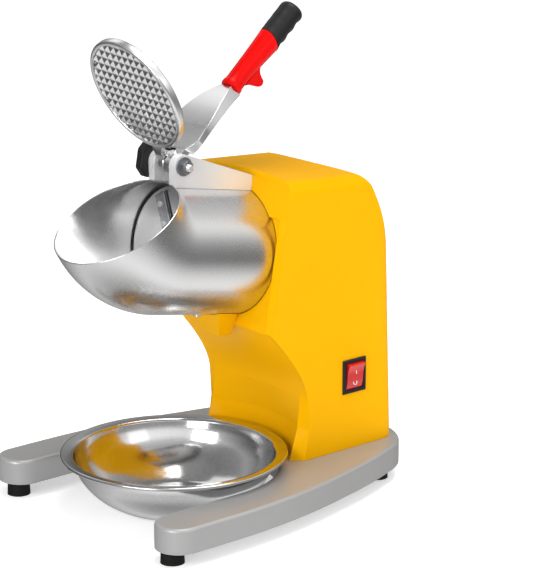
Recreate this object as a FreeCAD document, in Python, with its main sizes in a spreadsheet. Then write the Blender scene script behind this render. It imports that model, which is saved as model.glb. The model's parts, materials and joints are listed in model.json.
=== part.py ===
import FreeCAD, Part
import math
import os
import re
import Sketcher
from FreeCAD import Placement, Rotation, Vector

# Countertop shaved ice machine. Millimetres, +Z up, the operator stands on the -Y side,
# the origin is on the table under the middle of the machine.

DIMENSIONS = {
    # cast base
    "base_bottom_z": 12.8, "base_top_z": 34.6, "base_edge_round": 3.0, "base_wall": 4.0,
    "leg_half_gap": 90.0, "leg_outer_x": 130.5, "leg_centre_y": -139.1, "base_rear_y": 163.6,
    # feet
    "foot_front_x": 108.0, "foot_front_y": -144.4, "foot_rear_x": 66.0, "foot_rear_y": 122.0,
    "foot_radius": 9.5, "foot_flare": 0.6, "foot_recess_radius": 4.6, "foot_recess_depth": 5.0,
    "foot_screw_radius": 2.0, "foot_screw_length": 20.0, "foot_screw_head_radius": 3.6,
    "foot_screw_head_height": 2.6, "boss_radius": 7.0, "fit_gap": 0.05,
    # bowl
    "bowl_y": -55.9, "bowl_rim_radius": 98.4, "bowl_rim_z": 48.3, "bowl_wall": 1.2,
    "bowl_floor_radius": 46.0, "bowl_side_radius": 87.0, "bowl_side_z": 40.0, "bowl_lip": 1.6,
    # housing
    "housing_half_width": 66.7, "housing_wall": 2.5, "face_lean": 10.0, "face_foot_y": -2.8,
    "face_foot_z": 154.8, "top_front_z": 287.0, "corner_round": 12.0, "top_slope": 3.6,
    "top_crown": 3.0, "crown_above": 0.4, "face_recess": 3.0, "brow_height": 21.0, "rim_width": 9.0,
    "rear_corner_round": 18.0,
    # rear cover
    "cover_width": 84.0, "cover_height": 120.0, "cover_z": 118.0, "cover_thickness": 2.0,
    "cover_window": 74.0, "cover_window_height": 110.0, "slot_width": 52.0, "slot_height": 3.4,
    "slot_pitch": 9.0, "slot_count": 7, "cover_screw_radius": 1.5, "cover_screw_head": 3.0,
    # hopper
    "pivot_y": -56.3, "pivot_z": 301.2, "axis_drop": 72.2, "hopper_radius": 56.5,
    "hopper_wall": 1.2, "elbow_turn": 52.0, "elbow_start": -4.6, "elbow_centre_drop": 57.0,
    "hopper_rear": 83.4, "outlet_start": 58.5, "outlet_length": 18.0, "outlet_half_width": 17.0,
    "bolt_ahead": 7.5, "chute_low_z": 144.0, "chute_wall": 2.0,
    "notch_radius": 20.5, "notch_left": -10.4, "notch_right": 3.6,
    # cutter
    "disc_front": 14.0, "disc_thickness": 5.0, "disc_radius": 53.0, "hub_radius": 13.0,
    "hub_length": 12.0, "blade_count": 3, "blade_length": 36.0, "blade_width": 12.0,
    "blade_thickness": 1.6, "blade_lift": 0.9, "blade_inset": 13.5, "slot_gap": 3.2,
    "blade_screw_radius": 1.5, "blade_screw_head": 2.8, "chamber_start": 22.0,
    "chamber_radius": 55.1, "chamber_wall": 4.0, "chamber_rear": 87.6, "chamber_plate": 6.0,
    "flange_radius": 62.5, "flange_thickness": 3.8, "flange_screw_circle": 59.6,
    "nut_radius": 7.5, "nut_height": 6.0,
    # motor
    "shaft_radius": 6.0, "shaft_start": 6.5, "shaft_end": 177.0, "bearing_radius": 14.0,
    "bearing_width": 9.0, "seal_width": 4.0, "motor_radius": 44.0, "motor_front": 87.65,
    "motor_length": 72.0, "bell_thickness": 12.0, "can_wall": 2.5, "rotor_radius": 24.0,
    "rotor_length": 40.0, "stator_bore": 24.6, "winding_radius": 36.0, "winding_length": 8.0,
    "through_bolt_circle": 39.0, "through_bolt_radius": 2.0, "fan_start": 164.0,
    "fan_radius": 30.0, "fan_blade": 10.0, "fan_hub": 10.0, "fan_count": 7,
    # electrics
    "switch_y": 92.6, "switch_z": 101.0, "switch_width": 27.0, "switch_height": 31.0,
    "bezel_depth": 2.2, "bezel_rim": 3.0, "switch_body_width": 22.0, "switch_body_height": 27.0,
    "switch_body_depth": 19.0, "rocker_width": 18.6, "rocker_height": 24.0, "rocker_tip": 5.6,
    "rocker_pin_radius": 1.5,
    "rocker_pin_length": 21.2,
    "capacitor_radius": 15.0, "capacitor_length": 52.0, "capacitor_x": -40.0, "capacitor_y": 84.0,
    "capacitor_z": 60.0, "gland_radius": 9.0, "gland_bore": 3.6, "gland_x": -38.0,
    "gland_z": 46.2,
    # lever pivot
    "ear_inner": 10.0, "ear_outer": 17.2, "ear_radius": 10.0, "pin_radius": 3.0,
    "nut_across": 5.8, "nut_depth": 5.0, "pin_reach": 27.5, "pin_back": 23.0, "washer_radius": 8.0,
    "washer_thickness": 1.5, "knuckle_radius": 8.0, "knuckle_gap": 0.25,
    # lever and press plate
    "lever_angle": 41.5, "plate_angle": 115.5, "plate_distance": 72.0, "plate_radius": 51.8,
    "plate_thickness": 7.5, "plate_rim": 3.8, "plate_recess": 2.4, "plate_round": 1.6,
    "lever_wall": 2.5, "collar_at": 84.0, "hub_screw_x": 5.0, "grip_split": 142.0,
    "grip_end": 180.0, "grip_half": 11.0,
    "tang_half": 5.0, "tang_end": 166.0, "tang_thickness": 3.0, "hook_reach": 23.0,
    # safety switch on the far ear
    "guard_front_y": -73.0, "guard_rear_y": -27.0, "guard_low_z": 286.0, "guard_top_z": 316.0,
    "guard_inner_x": -17.22, "guard_outer_x": -25.8, "guard_wall": 2.0, "guard_bevel": 7.0,
    "cam_radius": 6.9, "cam_lift": 3.0, "cam_travel": 144.0, "cam_thickness": 4.0,
    "plunger_radius": 1.6, "plunger_length": 9.0, "plunger_gap": 0.2, "sensor_depth": 7.6,
    "sensor_height": 6.6, "sensor_drop": 4.0,
}

doc = FreeCAD.newDocument("ShavedIceMachine")
sheet = doc.addObject("Spreadsheet::Sheet", "Dims")
for row, (alias, number) in enumerate(DIMENSIONS.items(), 1):
    sheet.set(f"A{row}", alias)
    sheet.set(f"B{row}", str(number))
    sheet.setAlias(f"B{row}", alias)
doc.recompute()

HOME = Placement()
FAR = 400.0
PARTS = {}


def bound(text):
    """The expression with each dimension's name turned into its cell."""
    return re.sub(r"[a-z][a-z_]+", lambda word: "Dims." + word.group(0), text)


def size(text):
    """The number that an expression of dimensions stands for, from a spare cell."""
    sheet.set("D1", "=" + text)
    sheet.recompute()
    return float(sheet.get("D1"))


def keep(item, label):
    """Name a finished sub-part: its label is its node and its file."""
    item.Label = label
    PARTS[label] = item
    return item


def at(x=0.0, y=0.0, z=0.0, axis=Vector(0, 0, 1), angle=0.0):
    return Placement(Vector(x, y, z), Rotation(axis, angle))


LEAN = math.radians(size("face_lean"))
PIVOT = Vector(0, size("pivot_y"), size("pivot_z"))
AXIS = Vector(0, math.cos(LEAN), -math.sin(LEAN))
AXIS_START = PIVOT + Vector(0, -math.sin(LEAN), -math.cos(LEAN)) * size("axis_drop")


def on_axis(along=0.0, turn=0.0, out=0.0):
    """A place on the cutter axis: local Z runs to the rear, local Y points down."""
    spin = Rotation(Vector(0, 0, 1), turn)
    tilt = Rotation(Vector(1, 0, 0), -90.0 - size("face_lean"))
    turned_out = (tilt * spin).multVec(Vector(out, 0, 0))
    return Placement(AXIS_START + AXIS * along + turned_out, tilt * spin)


def on_pivot(angle):
    """A place on the lever pivot: local Y points out along the arm, local X is the pin."""
    return Placement(PIVOT, Rotation(Vector(1, 0, 0), angle))


def primitive(kind, name, sizes, place=HOME):
    item = doc.addObject("Part::" + kind, name)
    for field, text in sizes.items():
        item.setExpression(field, bound(text))
    item.Placement = place
    return item


def rod(name, radius, height, place=HOME):
    return primitive("Cylinder", name, {"Radius": radius, "Height": height}, place)


def brick(name, length, width, height, place=HOME):
    return primitive("Box", name, {"Length": length, "Width": width, "Height": height}, place)


def joined(name, shapes):
    item = doc.addObject("Part::MultiFuse", name)
    item.Shapes = shapes
    return item


def cut(name, base, tool):
    item = doc.addObject("Part::Cut", name)
    item.Base = base
    item.Tool = tool
    return item


def group(label, shapes):
    """Identical fasteners share one node as separate solids."""
    item = doc.addObject("Part::Compound", label)
    item.Links = shapes
    return keep(item, label)


def plane_of(body, role):
    return next(item for item in body.Origin.OriginFeatures if item.Role == role)


def profile(body, role, corners):
    """A closed sketch whose corners are tied to the dimension sheet."""
    sketch = body.newObject("Sketcher::SketchObject", body.Name + "_profile")
    sketch.AttachmentSupport = [(plane_of(body, role), "")]
    sketch.MapMode = "FlatFace"
    points = [Vector(size(across), size(up), 0) for across, up in corners]
    count = len(points)
    for index, point in enumerate(points):
        sketch.addGeometry(Part.LineSegment(point, points[(index + 1) % count]), False)
    for index in range(count):
        sketch.addConstraint(Sketcher.Constraint("Coincident", index, 2, (index + 1) % count, 1))
    for index, point in enumerate(points):
        for kind, number, text in (("DistanceX", point.x, corners[index][0]),
                                   ("DistanceY", point.y, corners[index][1])):
            rule = sketch.addConstraint(Sketcher.Constraint(kind, -1, 1, index, 1, number))
            sketch.setExpression(f"Constraints[{rule}]", bound(text))
    return sketch


def turned(label, corners, place=HOME):
    """A body turned about its local Z axis from (radius, height) corners."""
    body = doc.addObject("PartDesign::Body", label)
    sketch = profile(body, "XZ_Plane", corners)
    revolution = body.newObject("PartDesign::Revolution", label + "_turn")
    revolution.Profile = sketch
    revolution.ReferenceAxis = (sketch, ["V_Axis"])
    revolution.Angle = 360
    body.Placement = place
    return keep(body, label)


def padded(label, role, corners, length, place=HOME):
    """A body padded both ways from its local plane."""
    body = doc.addObject("PartDesign::Body", label)
    pad = body.newObject("PartDesign::Pad", label + "_pad")
    pad.Profile = profile(body, role, corners)
    pad.Midplane = True
    pad.setExpression("Length", bound(length))
    body.Placement = place
    return keep(body, label)


def shaped(label, shape, place=HOME):
    """A sub-part whose walls are free curves, made from the sheet's sizes."""
    item = doc.addObject("Part::Feature", label)
    item.Shape = shape
    item.Placement = place
    return keep(item, label)


def arc(start, middle, end):
    return Part.Arc(start, middle, end).toShape()


def line(start, end):
    return Part.LineSegment(start, end).toShape()


def face(edges):
    return Part.Face(Part.Wire(edges))


def polygon(points):
    return Part.Face(Part.makePolygon(points + points[:1]))


def block(low, high):
    low, high = Vector(*low), Vector(*high)
    span = high - low
    return Part.makeBox(span.x, span.y, span.z, low)


def side_point(y, z):
    return Vector(0, y, z)


def place_shape(shape, place):
    moved = shape.copy()
    moved.Placement = place.multiply(moved.Placement)
    return moved


# ---------------------------------------------------------------- base and feet

def base_outline(z):
    """The fork: two legs with round ends that run back into one rounded deck."""
    gap, outer = size("leg_half_gap"), size("leg_outer_x")
    front, bowl_y, rear = size("leg_centre_y"), size("bowl_y"), size("base_rear_y")
    tip = front - (outer - gap) / 2

    def side(mirror):
        def point(x, y):
            return Vector(mirror * x, y, z)
        return [
            line(point(gap, bowl_y), point(gap, front)),
            arc(point(gap, front), point((gap + outer) / 2, tip), point(outer, front)),
            line(point(outer, front), point(outer, -90)),
            arc(point(outer, -90), point(outer - 4.7, -25), point(112, 44)),
            arc(point(112, 44), point(102, 82), point(90, 115)),
            arc(point(90, 115), point(73.5, 142), point(45, 157)),
        ]
    rear_arc = arc(Vector(-45, 157, z), Vector(0, rear, z), Vector(45, 157, z))
    bay = arc(Vector(-gap, bowl_y, z), Vector(0, bowl_y + gap, z), Vector(gap, bowl_y, z))
    return Part.Wire(Part.__sortEdges__(side(1) + side(-1) + [rear_arc, bay]))


FEET = {
    "foot_front_left": (-size("foot_front_x"), size("foot_front_y")),
    "foot_front_right": (size("foot_front_x"), size("foot_front_y")),
    "foot_rear_left": (-size("foot_rear_x"), size("foot_rear_y")),
    "foot_rear_right": (size("foot_rear_x"), size("foot_rear_y")),
}
POSTS = [(-56.0, 63.0), (56.0, 63.0), (-46.0, 108.0), (46.0, 108.0)]


def base_casting():
    bottom, top = size("base_bottom_z"), size("base_top_z")
    wall, rounding = size("base_wall"), size("base_edge_round")
    outer = Part.Face(base_outline(bottom)).extrude(Vector(0, 0, top - bottom))
    upper = [edge for edge in outer.Edges
             if min(v.Z for v in edge.Vertexes) > top - 0.1]
    casting = outer.makeFillet(rounding, upper)
    hollow_face = Part.Face(base_outline(bottom - 1)).makeOffset2D(-wall)
    hollow = hollow_face.extrude(Vector(0, 0, top - wall - bottom + 1))
    boss = size("boss_radius")
    for x, y in list(FEET.values()) + POSTS:
        hollow = hollow.cut(Part.makeCylinder(boss, top, Vector(x, y, bottom - 2)))
    casting = casting.cut(hollow)
    hole = size("foot_screw_radius + fit_gap")
    for x, y in FEET.values():
        casting = casting.cut(Part.makeCylinder(hole, size("foot_screw_length"), Vector(x, y, 0)))
    for x, y in POSTS:
        casting = casting.cut(Part.makeCylinder(hole, top + 2, Vector(x, y, 0)))
        head = Part.makeCylinder(boss - 2.5, top - wall, Vector(x, y, 0))
        casting = casting.cut(head)
    return casting.removeSplitter()


shaped("base_casting", base_casting())

for foot, (foot_x, foot_y) in FEET.items():
    turned(foot, [
        ("foot_screw_radius + fit_gap", "foot_recess_depth"),
        ("foot_recess_radius", "foot_recess_depth"),
        ("foot_recess_radius", "foot_recess_depth * 0"),
        ("foot_radius + foot_flare", "foot_recess_depth * 0"),
        ("foot_radius", "base_bottom_z"),
        ("foot_screw_radius + fit_gap", "base_bottom_z"),
    ], at(foot_x, foot_y))


def screw(name, radius, length, head_radius, head_height, place):
    """A pan-head screw: the head sits below local z = 0 and the shank runs up."""
    shank = rod(name + "_shank", radius, length, place)
    head = rod(name + "_head", head_radius, head_height,
               place.multiply(at(z=-size(head_height))))
    return joined(name, [shank, head])


group("foot_screws", [
    screw("foot_screw_" + foot, "foot_screw_radius", "foot_screw_length - foot_recess_depth - 1",
          "foot_screw_head_radius", "foot_screw_head_height",
          at(x, y, size("foot_recess_depth")))
    for foot, (x, y) in FEET.items()])

# ---------------------------------------------------------------- bowl

turned("bowl", [
    ("bowl_wall * 0", "bowl_wall * 0"),
    ("bowl_floor_radius", "bowl_wall * 0"),
    ("bowl_floor_radius + 22", "bowl_side_z * 0.3"),
    ("bowl_floor_radius + 34", "bowl_side_z * 0.62"),
    ("bowl_side_radius", "bowl_side_z"),
    ("bowl_side_radius + 1.5", "bowl_rim_z - 2 * bowl_lip"),
    ("bowl_rim_radius - bowl_lip", "bowl_rim_z - 2 * bowl_lip"),
    ("bowl_rim_radius", "bowl_rim_z - bowl_lip"),
    ("bowl_rim_radius - bowl_lip", "bowl_rim_z"),
    ("bowl_side_radius + 1", "bowl_rim_z - bowl_wall"),
    ("bowl_side_radius - bowl_wall", "bowl_side_z"),
    ("bowl_floor_radius + 34 - bowl_wall", "bowl_side_z * 0.62 + bowl_wall * 0.5"),
    ("bowl_floor_radius + 22 - bowl_wall", "bowl_side_z * 0.3 + bowl_wall * 0.8"),
    ("bowl_floor_radius - bowl_wall * 0.4", "bowl_wall"),
    ("bowl_wall * 0", "bowl_wall"),
], at(y=size("bowl_y")))

# ---------------------------------------------------------------- housing

FACE_Y = size("face_foot_y")
FACE_Z = size("face_foot_z")
DECK = size("base_top_z")


def face_y(z):
    """Where the leaning front plane stands at a height."""
    return FACE_Y + (z - FACE_Z) * math.tan(LEAN)


def side_outline():
    """The housing seen from the side, before its front is hollowed out below the face."""
    top = size("top_front_z")
    face_low = side_point(face_y(140.0), 140.0)
    face_high = side_point(face_y(top - 6), top - 6)
    top_front = side_point(face_y(top) + 6, top)
    top_rear = side_point(88.0, top - 3.6)
    brow_rear = side_point(112.8, top - 20)
    rear_high = side_point(141.4, 175.0)
    rear_low = side_point(146.7, DECK)
    return Part.Wire([
        line(side_point(10.0, DECK), face_low),
        line(face_low, face_high),
        arc(face_high, side_point(face_y(top) + 1.2, top - 1.2), top_front),
        arc(top_front, side_point(59.0, top - 1.0), top_rear),
        arc(top_rear, side_point(103.0, top - 9.2), brow_rear),
        arc(brow_rear, side_point(128.5, 232.0), rear_high),
        line(rear_high, rear_low),
        line(rear_low, side_point(10.0, DECK)),
    ])


def front_outline():
    """The housing seen from the front: upright sides, round shoulders, a slight crown."""
    half, rounding = size("housing_half_width"), size("corner_round")
    top = size("top_front_z + crown_above - top_crown")
    shoulder = half - rounding
    bend = rounding * (1 - math.sqrt(0.5))

    def point(x, z):
        return Vector(x, 0, z)
    return Part.Wire([
        line(point(-half, 0), point(-half, top - rounding)),
        arc(point(-half, top - rounding), point(-half + bend, top - bend), point(-shoulder, top)),
        arc(point(-shoulder, top), point(0, top + size("top_crown")), point(shoulder, top)),
        arc(point(shoulder, top), point(half - bend, top - bend), point(half, top - rounding)),
        line(point(half, top - rounding), point(half, 0)),
        line(point(half, 0), point(-half, 0)),
    ])


def plan_outline():
    """The housing seen from above: its two rear corners are round."""
    half, rounding, rear = size("housing_half_width"), size("rear_corner_round"), 146.7
    bend = rounding * (1 - math.sqrt(0.5))

    def point(x, y):
        return Vector(x, y, DECK)
    return Part.Wire([
        line(point(-half, -60), point(half, -60)),
        line(point(half, -60), point(half, rear - rounding)),
        arc(point(half, rear - rounding), point(half - bend, rear - bend),
            point(half - rounding, rear)),
        line(point(half - rounding, rear), point(-half + rounding, rear)),
        arc(point(-half + rounding, rear), point(-half + bend, rear - bend),
            point(-half, rear - rounding)),
        line(point(-half, rear - rounding), point(-half, -60)),
    ])


def housing_block(inset):
    """The housing's outer form, or the same form drawn in by a wall's thickness."""
    half = size("housing_half_width")
    slope = math.tan(math.radians(size("top_slope")))
    side, front, plan = Part.Face(side_outline()), Part.Face(front_outline()), Part.Face(plan_outline())
    if inset:
        side, front, plan = [item.makeOffset2D(-inset) for item in (side, front, plan)]
    side = side.copy()
    side.translate(Vector(-half - 5, 0, 0))
    side = side.extrude(Vector(2 * half + 10, 0, 0))
    front = front.copy()
    front.translate(Vector(0, -60, 80 * slope))
    front = front.extrude(Vector(0, 260, -260 * slope))
    plan = plan.copy()
    plan.translate(Vector(0, 0, -5 if inset else 0))
    plan = plan.extrude(Vector(0, -11.4, 300))
    return side.common(front).common(plan)


def scoop_section(z, edge_y, side_y, middle_y, spread):
    """A level cut of the space in front: bevelled edges either side of one wide curve."""
    half, inner = size("housing_half_width"), size("housing_half_width - rim_width") + spread
    beyond = half + 20

    def point(x, y):
        return Vector(x, y, z)
    return Part.Wire([
        line(point(-beyond, -FAR), point(beyond, -FAR)),
        line(point(beyond, -FAR), point(beyond, edge_y)),
        line(point(beyond, edge_y), point(half + spread, edge_y)),
        line(point(half + spread, edge_y), point(inner, side_y)),
        arc(point(inner, side_y), point(0, middle_y), point(-inner, side_y)),
        line(point(-inner, side_y), point(-half - spread, edge_y)),
        line(point(-half - spread, edge_y), point(-beyond, edge_y)),
        line(point(-beyond, edge_y), point(-beyond, -FAR)),
    ])


# height, edge y, y where the curve begins, y at the middle
SCOOP_UPPER = [(FACE_Z, FACE_Y, -1.6, -1.5), (150.0, 1.6, 3.4, 3.6), (126.0, 21.4, 22.7, 25.0),
               (107.0, 33.3, 34.4, 38.0), (90.0, 38.9, 37.6, 42.5)]
SCOOP_LOWER = [(90.0, 38.9, 37.6, 42.5), (62.0, 40.6, 34.5, 50.5), (DECK - 3, 36.2, 24.5, 51.5)]


def scoop_air(shift):
    """The space in front of the scooped front, which curves round the bowl."""
    lofts = []
    for rows, straight in ((SCOOP_UPPER, False), (SCOOP_LOWER, True)):
        wires = [scoop_section(z, edge_y + shift, side_y + shift, middle_y + shift, shift * 0.3)
                 for z, edge_y, side_y, middle_y in rows]
        lofts.append(Part.makeLoft(wires, True, straight))
    return lofts[0].fuse(lofts[1])


def tilted_box(width, along, low, high):
    """A box square to the cutter axis: low and high are heights above the axis."""
    start, end = along
    box = Part.makeBox(width, high - low, end - start, Vector(-width / 2, -high, start))
    return place_shape(box, on_axis())


BOLT_ANGLES = (45, 135, 225, 315)
FACE_ALONG = (Vector(0, face_y(217.0), 217.0) - AXIS_START).dot(AXIS)


def housing_shell():
    wall = size("housing_wall")
    outside = housing_block(0).cut(scoop_air(0))
    inside = housing_block(wall).cut(scoop_air(wall * 1.4))
    shell = outside.cut(inside)
    below = (Vector(0, 0, FACE_Z) - AXIS_START).z + 3
    above = (Vector(0, 0, size("top_front_z - brow_height")) - AXIS_START).z
    half = size("housing_half_width - rim_width")
    recess = size("face_recess")
    face_plate = tilted_box(2 * half + 2 * wall, (FACE_ALONG + recess, FACE_ALONG + recess + wall),
                            below, above)
    shell = shell.cut(tilted_box(2 * half, (FACE_ALONG - 20, FACE_ALONG + wall + 1), below, above))
    shell = shell.fuse(face_plate.common(outside))
    hole = Part.makeCylinder(size("hopper_radius + 0.4"), 60)
    shell = shell.cut(place_shape(hole, on_axis(FACE_ALONG - 20)))
    for angle in BOLT_ANGLES:
        tapped = Part.makeCylinder(size("blade_screw_radius"), 12)
        shell = shell.cut(place_shape(tapped, on_axis(
            size("chamber_rear - flange_thickness") - 2.3, angle, size("flange_screw_circle"))))
    switch_hole = block((50, size("switch_y - switch_body_width / 2") - 0.2,
                         size("switch_z - switch_body_height / 2") - 0.2),
                        (80, size("switch_y + switch_body_width / 2") + 0.2,
                         size("switch_z + switch_body_height / 2") + 0.2))
    shell = shell.cut(switch_hole)
    window = block((-size("cover_window / 2"), 120, size("cover_z - cover_window_height / 2")),
                   (size("cover_window / 2"), 160, size("cover_z + cover_window_height / 2")))
    shell = shell.cut(window)
    for x, y in POSTS:
        post = Part.makeCylinder(size("boss_radius - 1"), 14, Vector(x, y, DECK))
        shell = shell.fuse(post)
        shell = shell.cut(Part.makeCylinder(size("foot_screw_radius"), 11, Vector(x, y, DECK - 1)))
    gland = Part.makeCylinder(size("gland_radius - 2"), 40,
                              Vector(size("gland_x"), 125, size("gland_z")), Vector(0, 1, 0))
    return shell.cut(gland).removeSplitter()


shaped("housing_shell", housing_shell())


group("housing_screws", [
    screw(f"housing_screw_{number}", "foot_screw_radius - fit_gap", "base_wall + 9",
          "foot_screw_head_radius", "foot_screw_head_height",
          at(x, y, size("base_top_z - base_wall")))
    for number, (x, y) in enumerate(POSTS)])

# ---------------------------------------------------------------- rear cover

REAR_SLOPE = math.degrees(math.atan2(146.7 - 140.5, 215.0 - DECK))


def rear_place(z, out=0.0):
    """A place on the sloping rear wall: local Z points out of the machine."""
    y = 146.7 - (z - DECK) * math.tan(math.radians(REAR_SLOPE))
    return Placement(Vector(0, y + out, z), Rotation(Vector(1, 0, 0), -90.0 + REAR_SLOPE))


COVER = rear_place(size("cover_z"), 0.05)
cover_plate = brick("cover_plate", "cover_width", "cover_height", "cover_thickness",
                    COVER.multiply(at(-size("cover_width / 2"), -size("cover_height / 2"))))
cover_slots = []
for number in range(int(size("slot_count"))):
    offset = (number - (size("slot_count") - 1) / 2) * size("slot_pitch") + 14
    cover_slots.append(brick(
        f"cover_slot_{number}", "slot_width", "slot_height", "cover_thickness * 3",
        COVER.multiply(at(-size("slot_width / 2"), offset - size("slot_height / 2"),
                          -size("cover_thickness")))))
COVER_CORNERS = [(x * (size("cover_width / 2") - 2.5), y * (size("cover_height / 2") - 2.5))
                 for x in (-1, 1) for y in (-1, 1)]
keep(cut("rear_cover", cover_plate, joined("cover_slots", cover_slots)), "rear_cover")
group("rear_cover_screws", [
    rod(f"cover_screw_{number}", "cover_screw_head / 1.2", "cover_screw_radius",
        COVER.multiply(at(x, y, size("cover_thickness"))))
    for number, (x, y) in enumerate(COVER_CORNERS)])

turned("cord_gland", [
    ("gland_bore", "gland_radius * -0.8"), ("gland_radius - 2.1", "gland_radius * -0.8"),
    ("gland_radius - 2.1", "gland_bore * 0"), ("gland_radius", "gland_bore * 0"),
    ("gland_radius - 1", "gland_radius * 0.45"), ("gland_bore + 1.6", "gland_radius * 1.2"),
    ("gland_bore", "gland_radius * 1.2"),
], rear_place(size("gland_z"), 0.1).multiply(at(size("gland_x"))))

# ---------------------------------------------------------------- hopper

ELBOW_CENTRE = on_axis(size("elbow_start")).multVec(Vector(0, -size("elbow_centre_drop"), 0))


def hopper_form(radius):
    """A tube along the cutter axis whose front turns up in a tight elbow."""
    start, rear = size("elbow_start"), size("hopper_rear")
    tube = place_shape(Part.makeCylinder(radius, rear - start), on_axis(start))
    ring = Part.Circle(AXIS_START + AXIS * start, AXIS, radius).toShape()
    disc = Part.Face(Part.Wire([ring]))
    elbow = disc.revolve(ELBOW_CENTRE, Vector(1, 0, 0), -size("elbow_turn"))
    return tube.fuse(elbow)


def outlet_box(extra=0.0):
    half = size("outlet_half_width") + extra
    start, length = size("outlet_start"), size("outlet_length")
    box = Part.makeBox(2 * half, 30, length + 2 * extra, Vector(-half, 40, start - extra))
    return place_shape(box, on_axis())


def hopper():
    radius, wall = size("hopper_radius"), size("hopper_wall")
    shell = hopper_form(radius).cut(hopper_form(radius - wall))
    shell = shell.cut(outlet_box())
    notch = Part.makeCylinder(size("notch_radius"), size("notch_right - notch_left"),
                              PIVOT + Vector(size("notch_left"), 0, 0), Vector(1, 0, 0))
    shell = shell.cut(notch)
    bolt = Part.makeCylinder(size("foot_screw_radius + fit_gap"), 30)
    turn = Placement(Vector(0, 45, 0), Rotation(Vector(1, 0, 0), -90))
    shell = shell.cut(place_shape(bolt, on_axis(size("outlet_start - bolt_ahead")).multiply(turn)))
    return shell


shaped("hopper", hopper())
BOLT_PLACE = on_axis(size("outlet_start - bolt_ahead")).multiply(
    Placement(Vector(0, size("hopper_radius"), 0), Rotation(Vector(1, 0, 0), 90)))
keep(screw("hopper_bolt", "foot_screw_radius", "chamber_wall + hopper_wall",
           "foot_screw_head_radius", "foot_screw_head_height", BOLT_PLACE), "hopper_bolt")


def cutter_housing():
    """The cast drum behind the disc: it catches the shavings and lets them fall."""
    start, rear = size("chamber_start"), size("chamber_rear")
    outer = place_shape(Part.makeCylinder(size("chamber_radius"), rear - start), on_axis(start))
    inner = place_shape(Part.makeCylinder(size("chamber_radius - chamber_wall"),
                                          rear - start - size("chamber_plate")), on_axis(start - 0.01))
    drum = outer.cut(inner)
    flange = Part.makeCylinder(size("flange_radius"), size("flange_thickness"))
    drum = drum.fuse(place_shape(flange, on_axis(rear - size("flange_thickness"))))
    seat = Part.makeCylinder(size("bearing_radius"), size("bearing_width"))
    drum = drum.fuse(place_shape(Part.makeCylinder(size("bearing_radius + 4"), 12),
                                 on_axis(rear - size("chamber_plate") - 8)))
    drum = drum.cut(place_shape(seat, on_axis(rear - size("bearing_width"))))
    bore = Part.makeCylinder(size("shaft_radius + 4"), 60)
    drum = drum.cut(place_shape(bore, on_axis(rear - 40)))
    drum = drum.cut(outlet_box())
    hole = Part.makeCylinder(size("foot_screw_radius + fit_gap"), 30)
    turn = Placement(Vector(0, 45, 0), Rotation(Vector(1, 0, 0), -90))
    drum = drum.cut(place_shape(hole, on_axis(size("outlet_start - bolt_ahead")).multiply(turn)))
    for angle in BOLT_ANGLES:
        tapped = Part.makeCylinder(size("through_bolt_radius"), 8)
        drum = drum.cut(place_shape(tapped, on_axis(rear - 6, angle, size("through_bolt_circle"))))
        hole = Part.makeCylinder(size("blade_screw_radius + fit_gap"), 20)
        drum = drum.cut(place_shape(hole, on_axis(rear - 10, angle, size("flange_screw_circle"))))
    return drum


shaped("cutter_housing", cutter_housing())
group("flange_screws", [
    screw(f"flange_screw_{angle}", "blade_screw_radius", "flange_thickness + 2.2",
          "blade_screw_head", "blade_screw_radius",
          on_axis(size("chamber_rear") + 0.02, angle,
                  size("flange_screw_circle")).multiply(at(axis=Vector(1, 0, 0), angle=180)))
    for angle in BOLT_ANGLES])


def funnel(inset):
    """A tapered block: its sides and its front draw in towards the bottom."""
    sections = []
    for z, half, front in ((174.0, 24.3, -25.5), (size("chute_low_z"), 10.5, -13.0)):
        half, front, rear = half - inset, front + inset, -inset
        corners = [Vector(-half, front, z), Vector(half, front, z), Vector(half, rear, z),
                   Vector(-half, rear, z)]
        sections.append(Part.makePolygon(corners + corners[:1]))
    return Part.makeLoft(sections, True, True)


def discharge_chute():
    """A tapered spout under the drum that guides the shavings to the bowl."""
    passage = funnel(size("chute_wall"))
    mouth = block((-8, -10.6, 140), (8, -size("chute_wall"), 150))
    spout = funnel(0).cut(passage).cut(mouth)
    tube = place_shape(Part.makeCylinder(size("hopper_radius + 0.2"), 120), on_axis(-10))
    return spout.cut(tube).cut(PARTS["housing_shell"].Shape)


shaped("discharge_chute", max(discharge_chute().Solids, key=lambda solid: solid.Volume))

# ---------------------------------------------------------------- cutter

BLADE_COUNT = int(size("blade_count"))
BLADE_TURN = 360.0 / BLADE_COUNT
disc_blank = rod("disc_blank", "disc_radius", "disc_thickness", on_axis(size("disc_front")))
disc_hub = rod("disc_hub", "hub_radius", "hub_length",
               on_axis(size("disc_front + disc_thickness")))
disc_cuts = [rod("disc_bore", "shaft_radius + fit_gap", "hub_length + disc_thickness + 4",
                 on_axis(size("disc_front - 2")))]
blades = []
blade_screws = []
for number in range(BLADE_COUNT):
    spot = on_axis(size("disc_front"), number * BLADE_TURN)
    disc_cuts.append(brick(f"disc_slot_{number}", "blade_length", "slot_gap",
                           "disc_thickness * 3",
                           spot.multiply(at(size("blade_inset"), size("blade_width / 2"),
                                            -size("disc_thickness")))))
    tilt = Rotation(Vector(1, 0, 0), -math.degrees(math.atan2(size("blade_lift"),
                                                             size("blade_width"))))
    seat = spot.multiply(Placement(
        Vector(size("blade_inset"), -size("blade_width / 2"), -size("blade_thickness + 0.06")),
        tilt))
    blades.append(brick(f"blade_{number}", "blade_length", "blade_width", "blade_thickness",
                        seat))
    for step in (0.25, 0.75):
        blade_screws.append(rod(
            f"blade_screw_{number}_{int(step * 4)}", "blade_screw_head / 1.1",
            "blade_screw_radius / 1.4",
            seat.multiply(at(size("blade_length") * step, size("blade_width") * 0.35,
                             -size("blade_screw_radius / 1.4") - 0.02))))
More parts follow.
